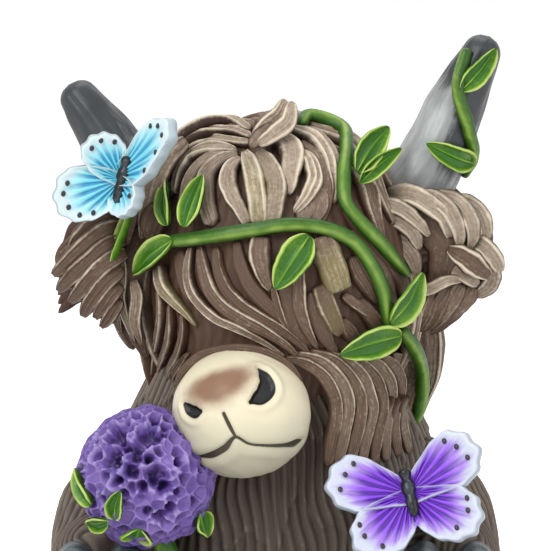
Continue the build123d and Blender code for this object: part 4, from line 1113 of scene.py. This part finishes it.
def torsoForm():
    shape = startShape()
    bottom, top = torso["sections"][0][0], torso["sections"][-1][0]
    points = [Vector((wide, deep, height)) for height, wide, deep in torso["sections"]]
    reach = curveAt(points, np.linspace(0, 1, 200))
    band = torso["endBand"]

    def place(u, v):
        # The first and last bands close the bottom and the top
        height = bottom + (top - bottom) * np.clip((u - band) / (1 - 2 * band), 0, 1)
        wide = np.interp(height, reach[:, 2], reach[:, 0])
        deep = np.interp(height, reach[:, 2], reach[:, 1])
        close = np.minimum(np.clip(u / band, 0, 1), np.clip((1 - u) / band, 0, 1))
        turn = v * fullTurn
        wander = turn + 0.06 * ripple(height * 0.06, np.sin(turn) * 2.5, 6.0)
        weave = 3.4 * ripple(height * 0.1, np.cos(turn) * 4, 1.0)
        wave = 0.5 + 0.5 * np.cos(torso["grooves"] * wander + weave)
        tufts = (height * 0.06 + 0.7 * ripple(np.cos(turn) * 6, np.sin(turn) * 6, 2.0)) % 1.0
        relief = torso["ribDepth"] * (np.cos(torso["ribs"] * turn) - 1) + torso["grooveDepth"] * (wave - 0.7)
        relief = np.where(close >= 1, relief + torso["tuftDepth"] * (1 - tufts) ** 2, 0)
        lean = -torso["lean"] * (height - bottom) / torso["collar"]
        across = np.sin(turn) * (wide + relief) * close
        forward = lean - np.cos(turn) * (deep + relief) * close
        # The tone is low at the front, which paints the chest darker as painted shade under the head, and
        # higher at the sides
        painted = {
            "ridge": 0.1 + 0.8 * wave * (0.65 + 0.35 * (1 - tufts)), "along": height, "across": turn * 34,
            "tone": 0.8 - 0.75 * bell(np.minimum(turn, fullTurn - turn), 0.85),
            "rim": wave**2 * (0.25 + 0.5 * (1 - tufts)),
        }
        return np.stack([across, forward, height + 0 * turn], axis=1) * mm, painted

    wrapGrid(shape, 170, 560, place)
    finishPiece(shape, "bodyFur", furPaint, "fur", "body_casting")


torsoForm()

# Places on the body are shares of the chest's half width and half depth, and of the shoulder's height
body = {"halfWidth": 38.0, "halfDepth": 32.5, "floor": 1.5, "rise": 78.0}


def onBody(across, forward, rise):
    place = (body["halfWidth"] * across, -body["halfDepth"] * forward, body["floor"] + body["rise"] * rise)
    return Vector(place) * mm


def claw(shape, origin, along, side, up, length, radius, sign):
    # One half of a cloven hoof: a rounded wedge beside its twin
    origin, along, side, up = [np.array(way) for way in (origin, along, side, up)]

    def place(u, v):
        turn = v * fullTurn
        full = eased(u, (0.97, 1.0, 1.0, 0.97, 0.88, 0.7)) * roundedEnds(u, 0.03, 0.12)
        wave = 0.5 + 0.5 * np.cos(u * 30 + ripple(np.cos(turn) * 2, u * 3, 2.0))
        reach = radius * full * (0.99 + 0.01 * wave) * mm
        aside = np.cos(turn) * 0.5 * reach + sign * (0.5 * reach + 0.55 * mm)
        tall = np.sign(np.sin(turn)) * np.abs(np.sin(turn)) ** 0.85 * reach * (1 - 0.06 * u)
        spot = origin + along * (u * length * mm)[:, None] + side * aside[:, None] + up * tall[:, None]
        return spot, {"ridge": wave, "along": u * length, "across": turn * radius}

    wrapGrid(shape, 36, 48, place)


foreleg = {
    "path": [(0.5, 0.05, 0.96), (0.82, 0.32, 0.82), (0.9, 0.72, 0.735), (0.88, 1.03, 0.705)],
    "radius": 11.6, "fullness": (0.5, 0.95, 1, 0.86, 0.78), "hoofLength": 12.0, "hoofRadius": 9.2,
    "look": {"grooves": 26, "cut": 0.06, "columns": 110, "rows": 200, "lumps": 0.02, "tone": 0.55,
             "drift": 0.3, "ends": (0.05, 0.05)},
}


def forelegPieces(side, sign):
    shape = startShape()
    limb = [onBody(sign * across, forward, rise) for across, forward, rise in foreleg["path"]]
    look = {**foreleg["look"], "seed": 2.0 + sign}
    roundSweep(shape, limb, fromFront, foreleg["radius"], foreleg["fullness"], look)
    finishPiece(shape, side + "Foreleg", furPaint, "fur", side + "_foreleg")
    shape = startShape()
    end = curveAt(limb, np.array([1.0]))
    along = unit(end - curveAt(limb, np.array([0.98])))[0]
    level = unit(np.cross(along, np.array([0.0, 0.0, 1.0])))
    size = (foreleg["hoofLength"], foreleg["hoofRadius"])
    for twin in (-1, 1):
        claw(shape, end[0], along, level, np.cross(level, along), *size, twin)
    finishPiece(shape, side + "ForeHoof", hoofPaint, "hoof", side + "_fore_hoof")


forelegPieces("left", 1)
forelegPieces("right", -1)

# Hind legs: a thigh beside the belly and a shank that lies on the table
hindLeg = {
    "knee": (0.82, 0.18), "thigh": (15.0, 23.0, 17.0), "radius": 9.5, "length": 30.0, "hoof": 11.0,
    "fullness": (1.3, 1.16, 1.0, 0.97), "steps": (0, 0.35, 0.75, 1),
    "look": {"grooves": 22, "cut": 0.05, "columns": 60, "rows": 170, "tone": 0.5, "ends": (0.05, 0.03)},
}


def hindLegPieces(side, sign):
    shape = startShape()
    out, forward = hindLeg["knee"]
    knee = Vector((sign * body["halfWidth"] * out, -body["halfDepth"] * forward, body["floor"]))
    half = np.array(hindLeg["thigh"])

    def thigh(lon, lat):
        east, north = np.radians(lon), np.radians(lat)
        wave = 0.5 + 0.5 * np.cos(60 * east + 6 * ripple(lon * 0.04, lat * 0.05, 5.0))
        wave = wave * np.cos(north) ** 0.5
        spot = ballWay(lon, lat) * (half + 0.5 * (wave - 0.5)[:, None])
        centre = np.array([knee.x, knee.y, knee.z + half[2]])
        painted = {"ridge": 0.15 + 0.7 * wave, "along": lat * 0.3, "across": lon * 0.3, "tone": 0.5}
        return (centre + spot) * mm, painted

    wrapBall(shape, 300, 120, thigh)
    radius, length = hindLeg["radius"], hindLeg["length"]
    start = Vector((knee.x, knee.y - half[1] / 3, body["floor"] + radius))
    shank = [
        (start + Vector((0, -length * step, radius * (rise - 1)))) * mm
        for step, rise in zip(hindLeg["steps"], hindLeg["fullness"])
    ]
    roundSweep(shape, shank, fromAbove, radius, hindLeg["fullness"], {**hindLeg["look"], "seed": 7.0 + sign})
    finishPiece(shape, side + "HindLeg", furPaint, "fur", side + "_hind_leg")
    shape = startShape()
    end = (start + Vector((0, -length, 0))) * mm
    for twin in (-1, 1):
        claw(shape, end, (0, -1, 0), (1, 0, 0), (0, 0, 1), hindLeg["hoof"], radius * 0.98, twin)
    finishPiece(shape, side + "HindHoof", hoofPaint, "hoof", side + "_hind_hoof")


hindLegPieces("left", 1)
hindLegPieces("right", -1)

# Tail: it lies round the cow's left side, and its tuft has a bundle of locks
tail = {
    "path": [(-0.1, -0.95, 0.3), (0.14, -1.2, 0.2), (0.5, -1.14, 0.12), (0.82, -0.94, 0.11)],
    "tuft": [(0.82, -0.94, 0.11), (0.98, -0.8, 0.11), (1.1, -0.62, 0.12)],
    "radius": 4.0, "fullness": (1, 0.95, 0.9, 0.85), "locks": 7, "spread": (1.2, 3.4, 1.4),
    "look": {"grooves": 10, "cut": 0.12, "seed": 3.0, "columns": 70, "rows": 60, "tone": 0.5, "twist": 3.0},
    "lock": {"width": 2.6, "depth": 2.2, "fullness": (0.5, 1, 1, 0.8, 0.3)},
}


def fromAxis(places):
    return unit(places * np.array([1.0, 1.0, 0.0]))


def tailPieces():
    shape = startShape()
    path = [onBody(*row) for row in tail["path"]]
    roundSweep(shape, path, fromAxis, tail["radius"], tail["fullness"], tail["look"])
    finishPiece(shape, "tail", furPaint, "fur", "tail")
    shape = startShape()
    for number in range(tail["locks"]):
        turn = number / tail["locks"] * fullTurn
        points = []
        for place, spread in zip([onBody(*row) for row in tail["tuft"]], tail["spread"]):
            outward = Vector((place.x, place.y, 0)).normalized()
            aside = outward * math.cos(turn) * 0.75 + Vector((0, 0, math.sin(turn)))
            points.append(place + aside * spread * mm)
        hairLock(shape, points, fromAxis, {**tail["lock"], "tone": 0.3 + 0.1 * (number % 3)})
    finishPiece(shape, "tailTuft", hairPaint, "hair", "tail_tuft")


tailPieces()
print("body ready")

# Stems over the head, by angles with an optional share of the lift
stems = {
    "brow_vine": [
        (-56, 18), (-34, 21), (-14, 24), (3, 26), (20, 24), (29, 20), (36, 12), (41, 3), (43, -5), (46, -10),
    ],
    "crown_vine": [
        (19, 70), (52, 77), (70, 66), (45, 54), (32, 42), (29, 33), (34, 26), (42, 19), (50, 12), (57, 7),
    ],
    "cheek_vine": [(52, -9, 1), (66, -18, 1.3), (76, -26, 1.8), (79, -33, 2.4), (78, -40, 3)],
    "lift": 2.9, "radius": 1.4,
}


def stemTube(shape, points, facing, radius, seed):
    length = lengthOf(points)

    def place(u, v):
        turn = v * fullTurn
        full = roundedEnds(u, 0.03, 0.03) * (1 + 0.08 * ripple(u * 12, 0 * u, seed))
        full = full * (0.8 + 0.2 * np.clip(u * 6, 0, 1)) * (0.55 + 0.45 * np.clip((1 - u) * 7, 0, 1))
        reach = radius * mm * full * (1 + 0.03 * np.cos(4 * turn + u * 9))
        lit = 0.1 + 0.8 * np.clip(np.sin(turn + 0.6), 0, 1) ** 4 + 0.12 * ripple(u * 30, turn, seed + 2)
        painted = {"ridge": lit, "along": u * length * 0.5, "across": turn, "tone": seed * 0.1}
        return roundLine(frameAlong(points, u, facing), turn, reach), painted

    wrapGrid(shape, int(length / 0.5), 22, place)


def leafBlade(shape, points, facing, halfWidth, seed):
    # A cupped leaf with a raised rim and a thin middle rib
    length = lengthOf(points)
    topShare = 0.7  # of the grid's rows, the others are the underside

    def place(u, v):
        here, side, out = frameAlong(points, u, facing)
        top = v < topShare
        s = np.where(top, 1 - v / (topShare / 2), -1 + (v - topShare) / 0.15)
        outline = np.clip(np.sin(math.pi * np.clip(u, 0, 1) ** 0.85), 0, 1) ** 0.62 * (1 - 0.12 * u)
        full = outline * (1 + 0.05 * ripple(u * 8, 0 * u, seed))
        rib = bell(s, 0.10) * (1 - u) ** 0.3
        rim = bell(np.abs(s) - 0.86, 0.16)
        height = np.where(top, -0.45 + 1.15 * rim + 0.5 * rib + 0.5 * np.abs(s) ** 4, -1.1 + 1.35 * s**2)
        rise = (height * np.minimum(full * 1.6, 1) - 0.10 * np.sin(u * math.pi)) * leaves["depth"] * mm
        spot = here + side * (s * halfWidth * mm * full)[:, None] + out * rise[:, None]
        lighterHalf = 0.3 * np.clip(s, 0, 1) ** 0.5
        lit = np.where(top, np.clip(rim + 0.8 * rib + lighterHalf + 0.1 * np.sin(u * 9), 0, 1), 0.3)
        return spot, {"ridge": lit, "along": u * length, "across": np.abs(s) * halfWidth, "tone": seed * 0.13}

    wrapGrid(shape, 34, 40, place)


def pieceName(node):
    parts = node.replace("_vine", "_stem").split("_")
    return parts[0] + "".join(part.capitalize() for part in parts[1:])


def stem(node, points, facing, radius, seed):
    shape = startShape()
    stemTube(shape, points, facing, radius, seed)
    finishPiece(shape, pieceName(node), stemPaint, "stem", node)


def leaf(node, points, facing, halfWidth, seed):
    shape = startShape()
    leafBlade(shape, points, facing, halfWidth, seed)
    finishPiece(shape, pieceName(node), leafPaint, "leaf", node)


for number, node in enumerate(("brow_vine", "crown_vine", "cheek_vine")):
    lift = stems["lift"]
    points = [onHead(lon, lat, lift * (share[0] if share else 1)) for lon, lat, *share in stems[node]]
    stem(node, points, offHead, stems["radius"], number + 1.0)

# Leaves: half width, then angles over the head and a share of the lift
leaves = {
    "depth": 0.95, "lift": 3.6,
    "head": {
        "brow_leaf_low": (3.0, [(-47, 19, 1.2), (-60, 13, 1.25), (-75, 6, 1.2)]),
        "brow_leaf_upper": (3.0, [(-42, 23, 1.2), (-41, 31, 1.3), (-42, 41, 1.2)]),
        "brow_leaf_side": (2.2, [(-52, 23, 1.2), (-61, 30, 1.25), (-70, 37, 1.2)]),
        "temple_leaf": (1.9, [(-70, 25, 2.3), (-71, 17, 2.4), (-73, 8, 2.6)]),
        "forehead_leaf": (3.4, [(10, 22, 1.2), (3, 14, 1.3), (-3, 6, 1.2)]),
        "cheek_leaf_upper": (3.6, [(42, -6, 1.2), (50, 0, 1.5), (58, 8, 1.6)]),
        "cheek_leaf_lower": (3.5, [(48, -10, 1.3), (35, -11, 1.3), (21, -14, 1.2)]),
        "crown_leaf_upper": (3.0, [(38, 42, 1.2), (58, 50, 1.6), (74, 52, 2.4)]),
        "crown_leaf_lower": (2.0, [(37, 38, 1.2), (54, 43, 1.6), (66, 44, 2.4)]),
    },
    # Over the left horn: shares of its length, and degrees from the front towards the cow's left
    "horn": {
        "horn_leaf_low": (2.7, [(0.44, 72), (0.45, 30), (0.46, -22)]),
        "horn_leaf_tip": (2.4, [(0.74, -8), (0.86, 8), (0.98, 20)]),
    },
    "hornStem": [(0.92, -45), (0.74, -15), (0.6, 30), (0.46, 75), (0.36, 95)],
    # Over the flower cluster: degrees, and the lift in mm
    "bouquet": {
        "bouquet_leaf_upright": (1.9, [(-26, -24, 3.6), (-23, -12, 4.2), (-17, 1, 4.3)]),
        "bouquet_leaf_outer": (1.9, [(-34, -27, 3.6), (-50, -31, 4.2), (-66, -33, 4.4)]),
        "bouquet_leaf_round": (3.4, [(-16, -56, 2.4), (-9, -44, 3.6), (-4, -31, 4.0)]),
        "bouquet_leaf_edge": (2.6, [(-52, -16, 3.2), (-66, -4, 3.7), (-80, 9, 3.9)]),
        "bouquet_leaf_inner": (2.6, [(66, -28, 2.6), (73, -35, 3.9), (78, -42, 6.2)]),
    },
}
for number, (node, (halfWidth, path)) in enumerate(leaves["head"].items()):
    points = [onHead(lon, lat, leaves["lift"] * share) for lon, lat, share in path]
    leaf(node, points, offHead, halfWidth, number + 1.0)
leftHorn = hornPath("left")


def onHorn(share, turn, lift):
    share = np.array([float(share)])
    here, across, out = frameAlong(leftHorn, share, fromFront)
    reach = horns["radius"] * eased(share, horns["fullness"])[0] + lift
    outward = across[0] if across[0][0] > 0 else -across[0]
    turned = out[0] * math.cos(math.radians(turn)) + outward * math.sin(math.radians(turn))
    return Vector(here[0] + turned * reach * mm)


def offHorn(places):
    ends = np.array([tuple(point) for point in leftHorn])
    axis = unit(ends[-1] - ends[0])
    away = places - ends[0]
    return unit(away - (away @ axis)[:, None] * axis)


stem("horn_vine", [onHorn(*row, 0.7) for row in leaves["hornStem"]], offHorn, stems["radius"], 4.0)
for node, (halfWidth, path) in leaves["horn"].items():
    leaf(node, [onHorn(*row, 1.6) for row in path], offHorn, halfWidth, 5.0)
print("stems and leaves ready")

# Flower cluster: many small cells, and big holes by pixel with their radius in mm
flower = {
    "centre": (-24.5, -35.5, 77.5), "half": (10.0, 9.5, 10.5), "lift": 2.6, "cells": 330, "radius": 12.5,
    "pits": [
        (119, 433, 2.1), (150, 436, 1.9), (113, 457, 2.0), (156, 477, 1.9), (125, 446, 1.1), (139, 446, 1.1),
        (135, 456, 1.3), (148, 458, 1.0), (98, 456, 1.1), (130, 470, 1.5), (97, 441, 0.9), (83, 473, 1.1),
        (86, 484, 1.0), (165, 487, 1.2), (155, 420, 1.0), (133, 418, 1.1), (143, 486, 1.0), (116, 481, 0.9),
        (178, 462, 0.9), (104, 498, 0.9), (170, 508, 1.1), (160, 516, 1.1),
    ],
    "stem": [(-0.6, 1.12, 0.86), (-0.5, 1.2, 0.74), (-0.36, 1.2, 0.6), (-0.22, 1.16, 0.46)],
    "stemRadius": 2.3,
}
flowerCentre = np.array(flower["centre"])
flowerHalf = np.array(flower["half"])


def flowerCells():
    # The middles of the cells, spread evenly by the golden angle, and how deep each one is
    golden = math.pi * (3 - math.sqrt(5))
    seeds = []
    for number in range(flower["cells"]):
        climb = 1 - (2 * number + 1) / flower["cells"]
        wide = math.sqrt(1 - climb * climb)
        turn = golden * number + chance.uniform(-0.12, 0.12)
        seeds.append((wide * math.cos(turn), wide * math.sin(turn), climb + chance.uniform(-0.035, 0.035)))
    deeps = np.array([chance.choice((0.0, 0.1, 0.2, 0.5, 0.9)) for seed in seeds])
    return unit(np.array(seeds)), deeps


def flowerForm():
    shape = startShape()
    verts = bmesh.ops.create_icosphere(shape, subdivisions=7, radius=1.0)["verts"]
    ball = unit(placesOf(verts))
    seeds, deeps = flowerCells()
    gaps = np.arccos(np.clip(ball @ seeds.T, -1, 1)) * flower["radius"]
    order = np.argsort(gaps, axis=1)[:, :2]
    nearest = np.take_along_axis(gaps, order, axis=1)
    wall = bell(nearest[:, 1] - nearest[:, 0], 0.5)  # 1 between two cells
    cell = np.clip(1 - nearest[:, 0] / 1.1, 0, 1) ** 0.7 * deeps[order[:, 0]]
    holes, rims = np.zeros(len(ball)), np.zeros(len(ball))
    grown = (flowerHalf + flower["lift"]) * mm
    for x, y, radius in flower["pits"]:
        way = unit((np.array(seenOnBall(flowerCentre * mm, grown, x, y)) - flowerCentre * mm) / grown)
        gap = np.arccos(np.clip(ball @ way, -1, 1)) * flower["radius"]
        gap = gap * (1 + 0.16 * np.sin(ball[:, 0] * 23 + ball[:, 2] * 19 + x))
        holes = np.maximum(holes, np.clip(1.3 - gap / radius, 0, 1))
        rims = np.maximum(rims, bell(gap - radius * 1.25, 0.55))
    lobes = ripple(ball[:, 0] * 5 + ball[:, 1] * 2, ball[:, 2] * 6, 7.0)
    lift = flower["lift"] + 0.55 * wall + 0.7 * lobes + 0.55 * rims - 1.5 * cell
    lift = lift - 3.6 * np.clip(holes, 0, 1) ** 0.55
    lit = np.clip(0.42 + 0.4 * wall + 0.45 * rims - 1.0 * cell - 1.5 * holes, 0, 1.3)
    lay(shape, verts, (flowerCentre + ball * (flowerHalf + lift[:, None])) * mm, {"ridge": lit})
    finishPiece(shape, "flowerCluster", flowerPaint, "flower", "flower_cluster")


def onCluster(lon, lat, lift):
    return Vector((flowerCentre + ballWay(float(lon), float(lat)) * (flowerHalf + lift)) * mm)


def offCluster(places):
    return unit(places - flowerCentre * mm)


flowerForm()
stem("flower_stem", [onBody(*row) for row in flower["stem"]], fromFront, flower["stemRadius"], 6.0)
for number, (node, (halfWidth, path)) in enumerate(leaves["bouquet"].items()):
    leaf(node, [onCluster(*row) for row in path], offCluster, halfWidth, number + 11.0)
print("flower ready")

# Butterflies: outlines and dots are shares of the span, across and up
wings = {
    "plate": 2.4, "topEnd": 0.72, "sideEnd": 0.85, "sidePaint": 1.3, "bossPaint": 2.0,
    "dot": (0.46, 0.58, 0.22),
    "bodyLength": 9.6, "bodyRadius": 1.2, "bodyMarks": (-0.5, -0.25, 0, 0.25, 0.5),
    "bodyFullness": (0.45, 0.8, 0.9, 0.95, 0.8, 1.15, 1.1, 0.75, 1.05, 0.9),
    "blueBroad": {
        "fore": [(0, 0.14), (0.06, 0.25), (0.14, 0.29), (0.23, 0.28), (0.31, 0.22), (0.34, 0.12),
                 (0.27, 0.02), (0, -0.06)],
        "hind": [(0, 0.05), (0.2, 0.05), (0.32, 0.02), (0.42, -0.05), (0.45, -0.17), (0.42, -0.29),
                 (0.33, -0.36), (0.21, -0.36), (0.1, -0.3), (0, -0.18)],
        "foreDots": [(0.225, 0.235), (0.275, 0.165), (0.13, 0.25)],
        "hindDots": [(0.38, -0.12), (0.39, -0.2), (0.33, -0.285), (0.24, -0.32), (0.15, -0.28)],
    },
    "blueFolded": {
        "fore": [(0, 0.08), (0.09, 0.22), (0.14, 0.34), (0.22, 0.45), (0.34, 0.51), (0.46, 0.5),
                 (0.49, 0.41), (0.43, 0.26), (0.36, 0.11), (0.26, 0.01), (0, -0.06)],
        "hind": [(0, 0.04), (0.16, 0.03), (0.28, -0.02), (0.3, -0.13), (0.2, -0.24), (0.09, -0.25),
                 (0, -0.15)],
        "foreDots": [(0.27, 0.44), (0.35, 0.46), (0.42, 0.41), (0.4, 0.28), (0.33, 0.13)],
        "hindDots": [(0.24, -0.08)],
    },
    "purple": {
        "fore": [(0, 0.08), (0.09, 0.16), (0.18, 0.24), (0.27, 0.31), (0.37, 0.33), (0.47, 0.27),
                 (0.53, 0.16), (0.51, 0.06), (0.42, -0.03), (0.2, -0.06), (0, -0.08)],
        "hind": [(0, 0.04), (0.2, 0), (0.36, -0.05), (0.44, -0.16), (0.44, -0.28), (0.36, -0.37),
                 (0.22, -0.38), (0.1, -0.32), (0, -0.2)],
        "foreDots": [(0.33, 0.27), (0.4, 0.21), (0.455, 0.12)],
        "hindDots": [(0.385, -0.14), (0.37, -0.22), (0.27, -0.31)],
    },
}


def wing(shape, toWorld, outline, dots, span, sign, seed):
    # A wing is a polar grid round its foot: rays run outwards, then over the rim and down its side
    ring = [(sign * across * span, up * span, 0) for across, up in outline]
    foot = np.array([sign * 0.015 * span, 0.0, 0.0])
    topEnd, sideEnd = wings["topEnd"], wings["sideEnd"]

    def place(u, v):
        edge = curveAt(ring, u)
        reach = np.clip(v / topEnd, 0, 1)
        down = np.clip((v - topEnd) / (sideEnd - topEnd), 0, 1)
        back = np.clip((v - sideEnd) / (1 - sideEnd), 0, 1)
        scallop = 1 + 0.02 * np.cos(u * 60)
        flat = foot + (edge - foot) * (reach * (1 - back) * scallop)[:, None]
        flat = flat + (edge - foot) * (0.03 * np.sin(down * math.pi))[:, None]
        rays = 0.5 + 0.5 * np.cos(u * fullTurn * 11 + seed)
        height = wings["plate"] * (1 - down) + 0.5 * np.clip((reach - 0.75) / 0.25, 0, 1) * (1 - down)
        height = height - 0.45 * (1 - rays) * np.sin(math.pi * np.clip(reach * 1.1, 0, 1)) * (1 - down)
        height = height - 0.35 * np.sin(reach * math.pi) * (1 - down)
        flat = flat + np.array([0, 0, 1.0]) * height[:, None]
        seam = np.clip(np.minimum(u, 1 - u) * 14, 0, 1)  # 0 where the wing meets its neighbour
        rim = np.where(down > 0, wings["sidePaint"], reach * (0.5 + 0.5 * seam))
        return toWorld(flat), {"ridge": rays, "along": rim, "across": u, "tone": seed * 0.1}

    wrapGrid(shape, 110, 34, place)
    for across, up in dots:
        verts = bmesh.ops.create_icosphere(shape, subdivisions=2, radius=1.0)["verts"]
        ball = placesOf(verts) * np.array(wings["dot"])
        spot = ball + np.array([sign * across * span, up * span, wings["plate"] + wings["dot"][2]])
        lay(shape, verts, toWorld(spot), {"along": 0.5, "tone": 0.5, "gold": 1.0})


def turnAbout(places, axis, degrees):
    # Turns places about the plate's x or y axis
    c, s = math.cos(math.radians(degrees)), math.sin(math.radians(degrees))
    x, y, z = places[:, 0], places[:, 1], places[:, 2]
    if axis == "x":
        return np.stack([x, c * y - s * z, s * y + c * z], axis=1)
    return np.stack([c * x + s * z, y, -s * x + c * z], axis=1)


def butterfly(name, finish, size):
    # Plate coordinates: x across the wings, y up the body, z away from the figure
    roll = math.radians(size["roll"])
    axisX = np.array([math.cos(roll), 0.0, math.sin(roll)])
    axisZ = np.array([0.0, -1.0, 0.0])
    axisY = np.cross(axisZ, axisX)

    def seated(places):
        x, y, z = np.split(turnAbout(places, "x", size["tilt"]), 3, axis=1)
        return (np.array(size["origin"]) + x * axisX + y * axisY + z * axisZ) * mm

    shape = startShape()
    for sign, fold, half in size["sides"]:
        def toWorld(places, fold=fold, sign=sign):
            return seated(turnAbout(places, "y", -sign * fold))
        outlines = wings[half]
        wing(shape, toWorld, outlines["hind"], outlines["hindDots"], size["span"], sign, 2.0 + sign)
        wing(shape, toWorld, outlines["fore"], outlines["foreDots"], size["span"], sign, 4.0 + sign)
    # The boss behind the wings reaches what carries them
    boss = {"cap_ends": True, "segments": 36, "radius1": 4.0, "radius2": 3.6, "depth": 1.0}
    verts = bmesh.ops.create_cone(shape, **boss)["verts"]
    middle = np.array([0, 0, wings["plate"] / 2 - size["boss"] / 2])
    places = placesOf(verts) * np.array([1, 1, size["boss"]]) + middle
    lay(shape, verts, seated(places), {"ridge": 0.5, "along": wings["bossPaint"], "tone": 0.3})
    finishPiece(shape, name + "Wings", finish, name + "_wing", name + "_butterfly_wings")
    shape = startShape()
    marks = [[0.0, wings["bodyLength"] * share, wings["plate"] + 0.5] for share in wings["bodyMarks"]]
    spine = seated(np.array(marks))

    def place(u, v):
        turn = v * fullTurn
        rings = 0.5 + 0.5 * np.cos(u * 44)
        full = eased(u, wings["bodyFullness"]) * roundedEnds(u, 0.08, 0.08)
        reach = wings["bodyRadius"] * mm * full * (1.0 + 0.05 * rings * (u < 0.55))
        return roundLine(frameAlong(spine, u, fromFront), turn, reach), {"ridge": np.clip(np.sin(turn), 0, 1)}

    wrapGrid(shape, 60, 28, place)
    finishPiece(shape, name + "Body", blackPaint, "butterfly_body", name + "_butterfly_body")


wrist = onBody(*foreleg["path"][-1]) / mm
blueButterfly = {
    "origin": tuple(onHead(-65.5, 30.5, 13.0) / mm), "roll": -15, "tilt": 0, "span": 27.0, "boss": 14.0,
    "sides": [(-1, 5, "blueBroad"), (1, 50, "blueFolded")],
}
purpleButterfly = {
    "origin": tuple(wrist + Vector((-7.9, -4.5, 17.9))), "roll": 14, "tilt": -25, "span": 28.5, "boss": 16.0,
    "sides": [(-1, 8, "purple"), (1, 12, "purple")],
}
butterfly("blue", bluePaint, blueButterfly)
butterfly("purple", purplePaint, purpleButterfly)
print("butterflies ready")


# The nodes that are carried over only get their finish
def repaint(node, finish):
    mesh = frame["nodes"][node].data
    mesh.materials.clear()
    mesh.materials.append(finish.material)


repaint("felt_base", feltPaint)
repaint("pour_plug", rubberPaint)

# Floor, lights and camera
studio = {
    "world": 0.5, "floor": 0.6, "aim": (0, 0, 0.1),
    "keyLamp": {"place": (-0.35, -0.55, 0.6), "power": 4.2, "size": 0.5},
    "fillLamp": {"place": (0.55, -0.45, 0.3), "power": 1.5, "size": 0.6},
    "topLamp": {"place": (0.05, 0.2, 0.8), "power": 2.0, "size": 0.5},
}


def seenDirectly(tree):
    # 1 for what the camera sees, also in a reflection or through glass
    path = tree.nodes.new("ShaderNodeLightPath")
    camera, glossy, through = [
        Wire(tree, path.outputs[name]) for name in ("Is Camera Ray", "Is Glossy Ray", "Is Transmission Ray")
    ]
    return camera.most(glossy).most(through)


def whiteBackground():
    world = bpy.data.worlds.new("paleRoom")
    bpy.context.scene.world = world
    world.use_nodes = True
    tree = world.node_tree
    shade = tree.nodes["Background"]
    shade.inputs["Color"].default_value = (1, 1, 1, 1)
    strength = studio["world"] + seenDirectly(tree) * (1 - studio["world"])
    tree.links.new(strength.socket, shade.inputs["Strength"])


def floorPlane():
    shape = bmesh.new()
    bmesh.ops.create_grid(shape, x_segments=1, y_segments=1, size=3.0)
    mesh = bpy.data.meshes.new("floor")
    shape.to_mesh(mesh)
    shape.free()
    finish = Finish("paleFloor", roughness=0.9, specular=0.1)
    grain = finish.noise(finish.place(), 30.0, 2.0)
    finish.feed("Base Color", finish.mix(colour(236, 236, 236), colour(246, 246, 246), grain))
    # The camera and reflections see the floor white apart from the shadow that falls on it
    finish.shader.inputs["Emission Strength"].default_value = 1.0
    glow = (studio["floor"],) * 3 + (1,)
    finish.feed("Emission Color", finish.mix((0, 0, 0, 1), glow, seenDirectly(finish.tree)))
    mesh.materials.append(finish.material)
    floor = bpy.data.objects.new("floor", mesh)
    bpy.context.scene.collection.objects.link(floor)


def lookAt(thing, place, target):
    thing.location = place
    thing.rotation_euler = (Vector(target) - thing.location).to_track_quat("-Z", "Y").to_euler()
    bpy.context.scene.collection.objects.link(thing)


def areaLamp(name):
    light = bpy.data.lights.new(name, "AREA")
    light.energy = studio[name]["power"]
    light.size = studio[name]["size"]
    lookAt(bpy.data.objects.new(name, light), studio[name]["place"], studio["aim"])


def photoCamera():
    lens = bpy.data.cameras.new("photoView")
    lens.sensor_width = view["sensor"]
    lens.lens = view["lens"]
    lens.clip_start = 0.01
    camera = bpy.data.objects.new("photoView", lens)
    lookAt(camera, view["camera"], view["aim"])
    bpy.context.scene.camera = camera
    bpy.context.scene.view_settings.view_transform = "Standard"


whiteBackground()
floorPlane()
areaLamp("keyLamp")
areaLamp("fillLamp")
areaLamp("topLamp")
photoCamera()


print("scene ready")
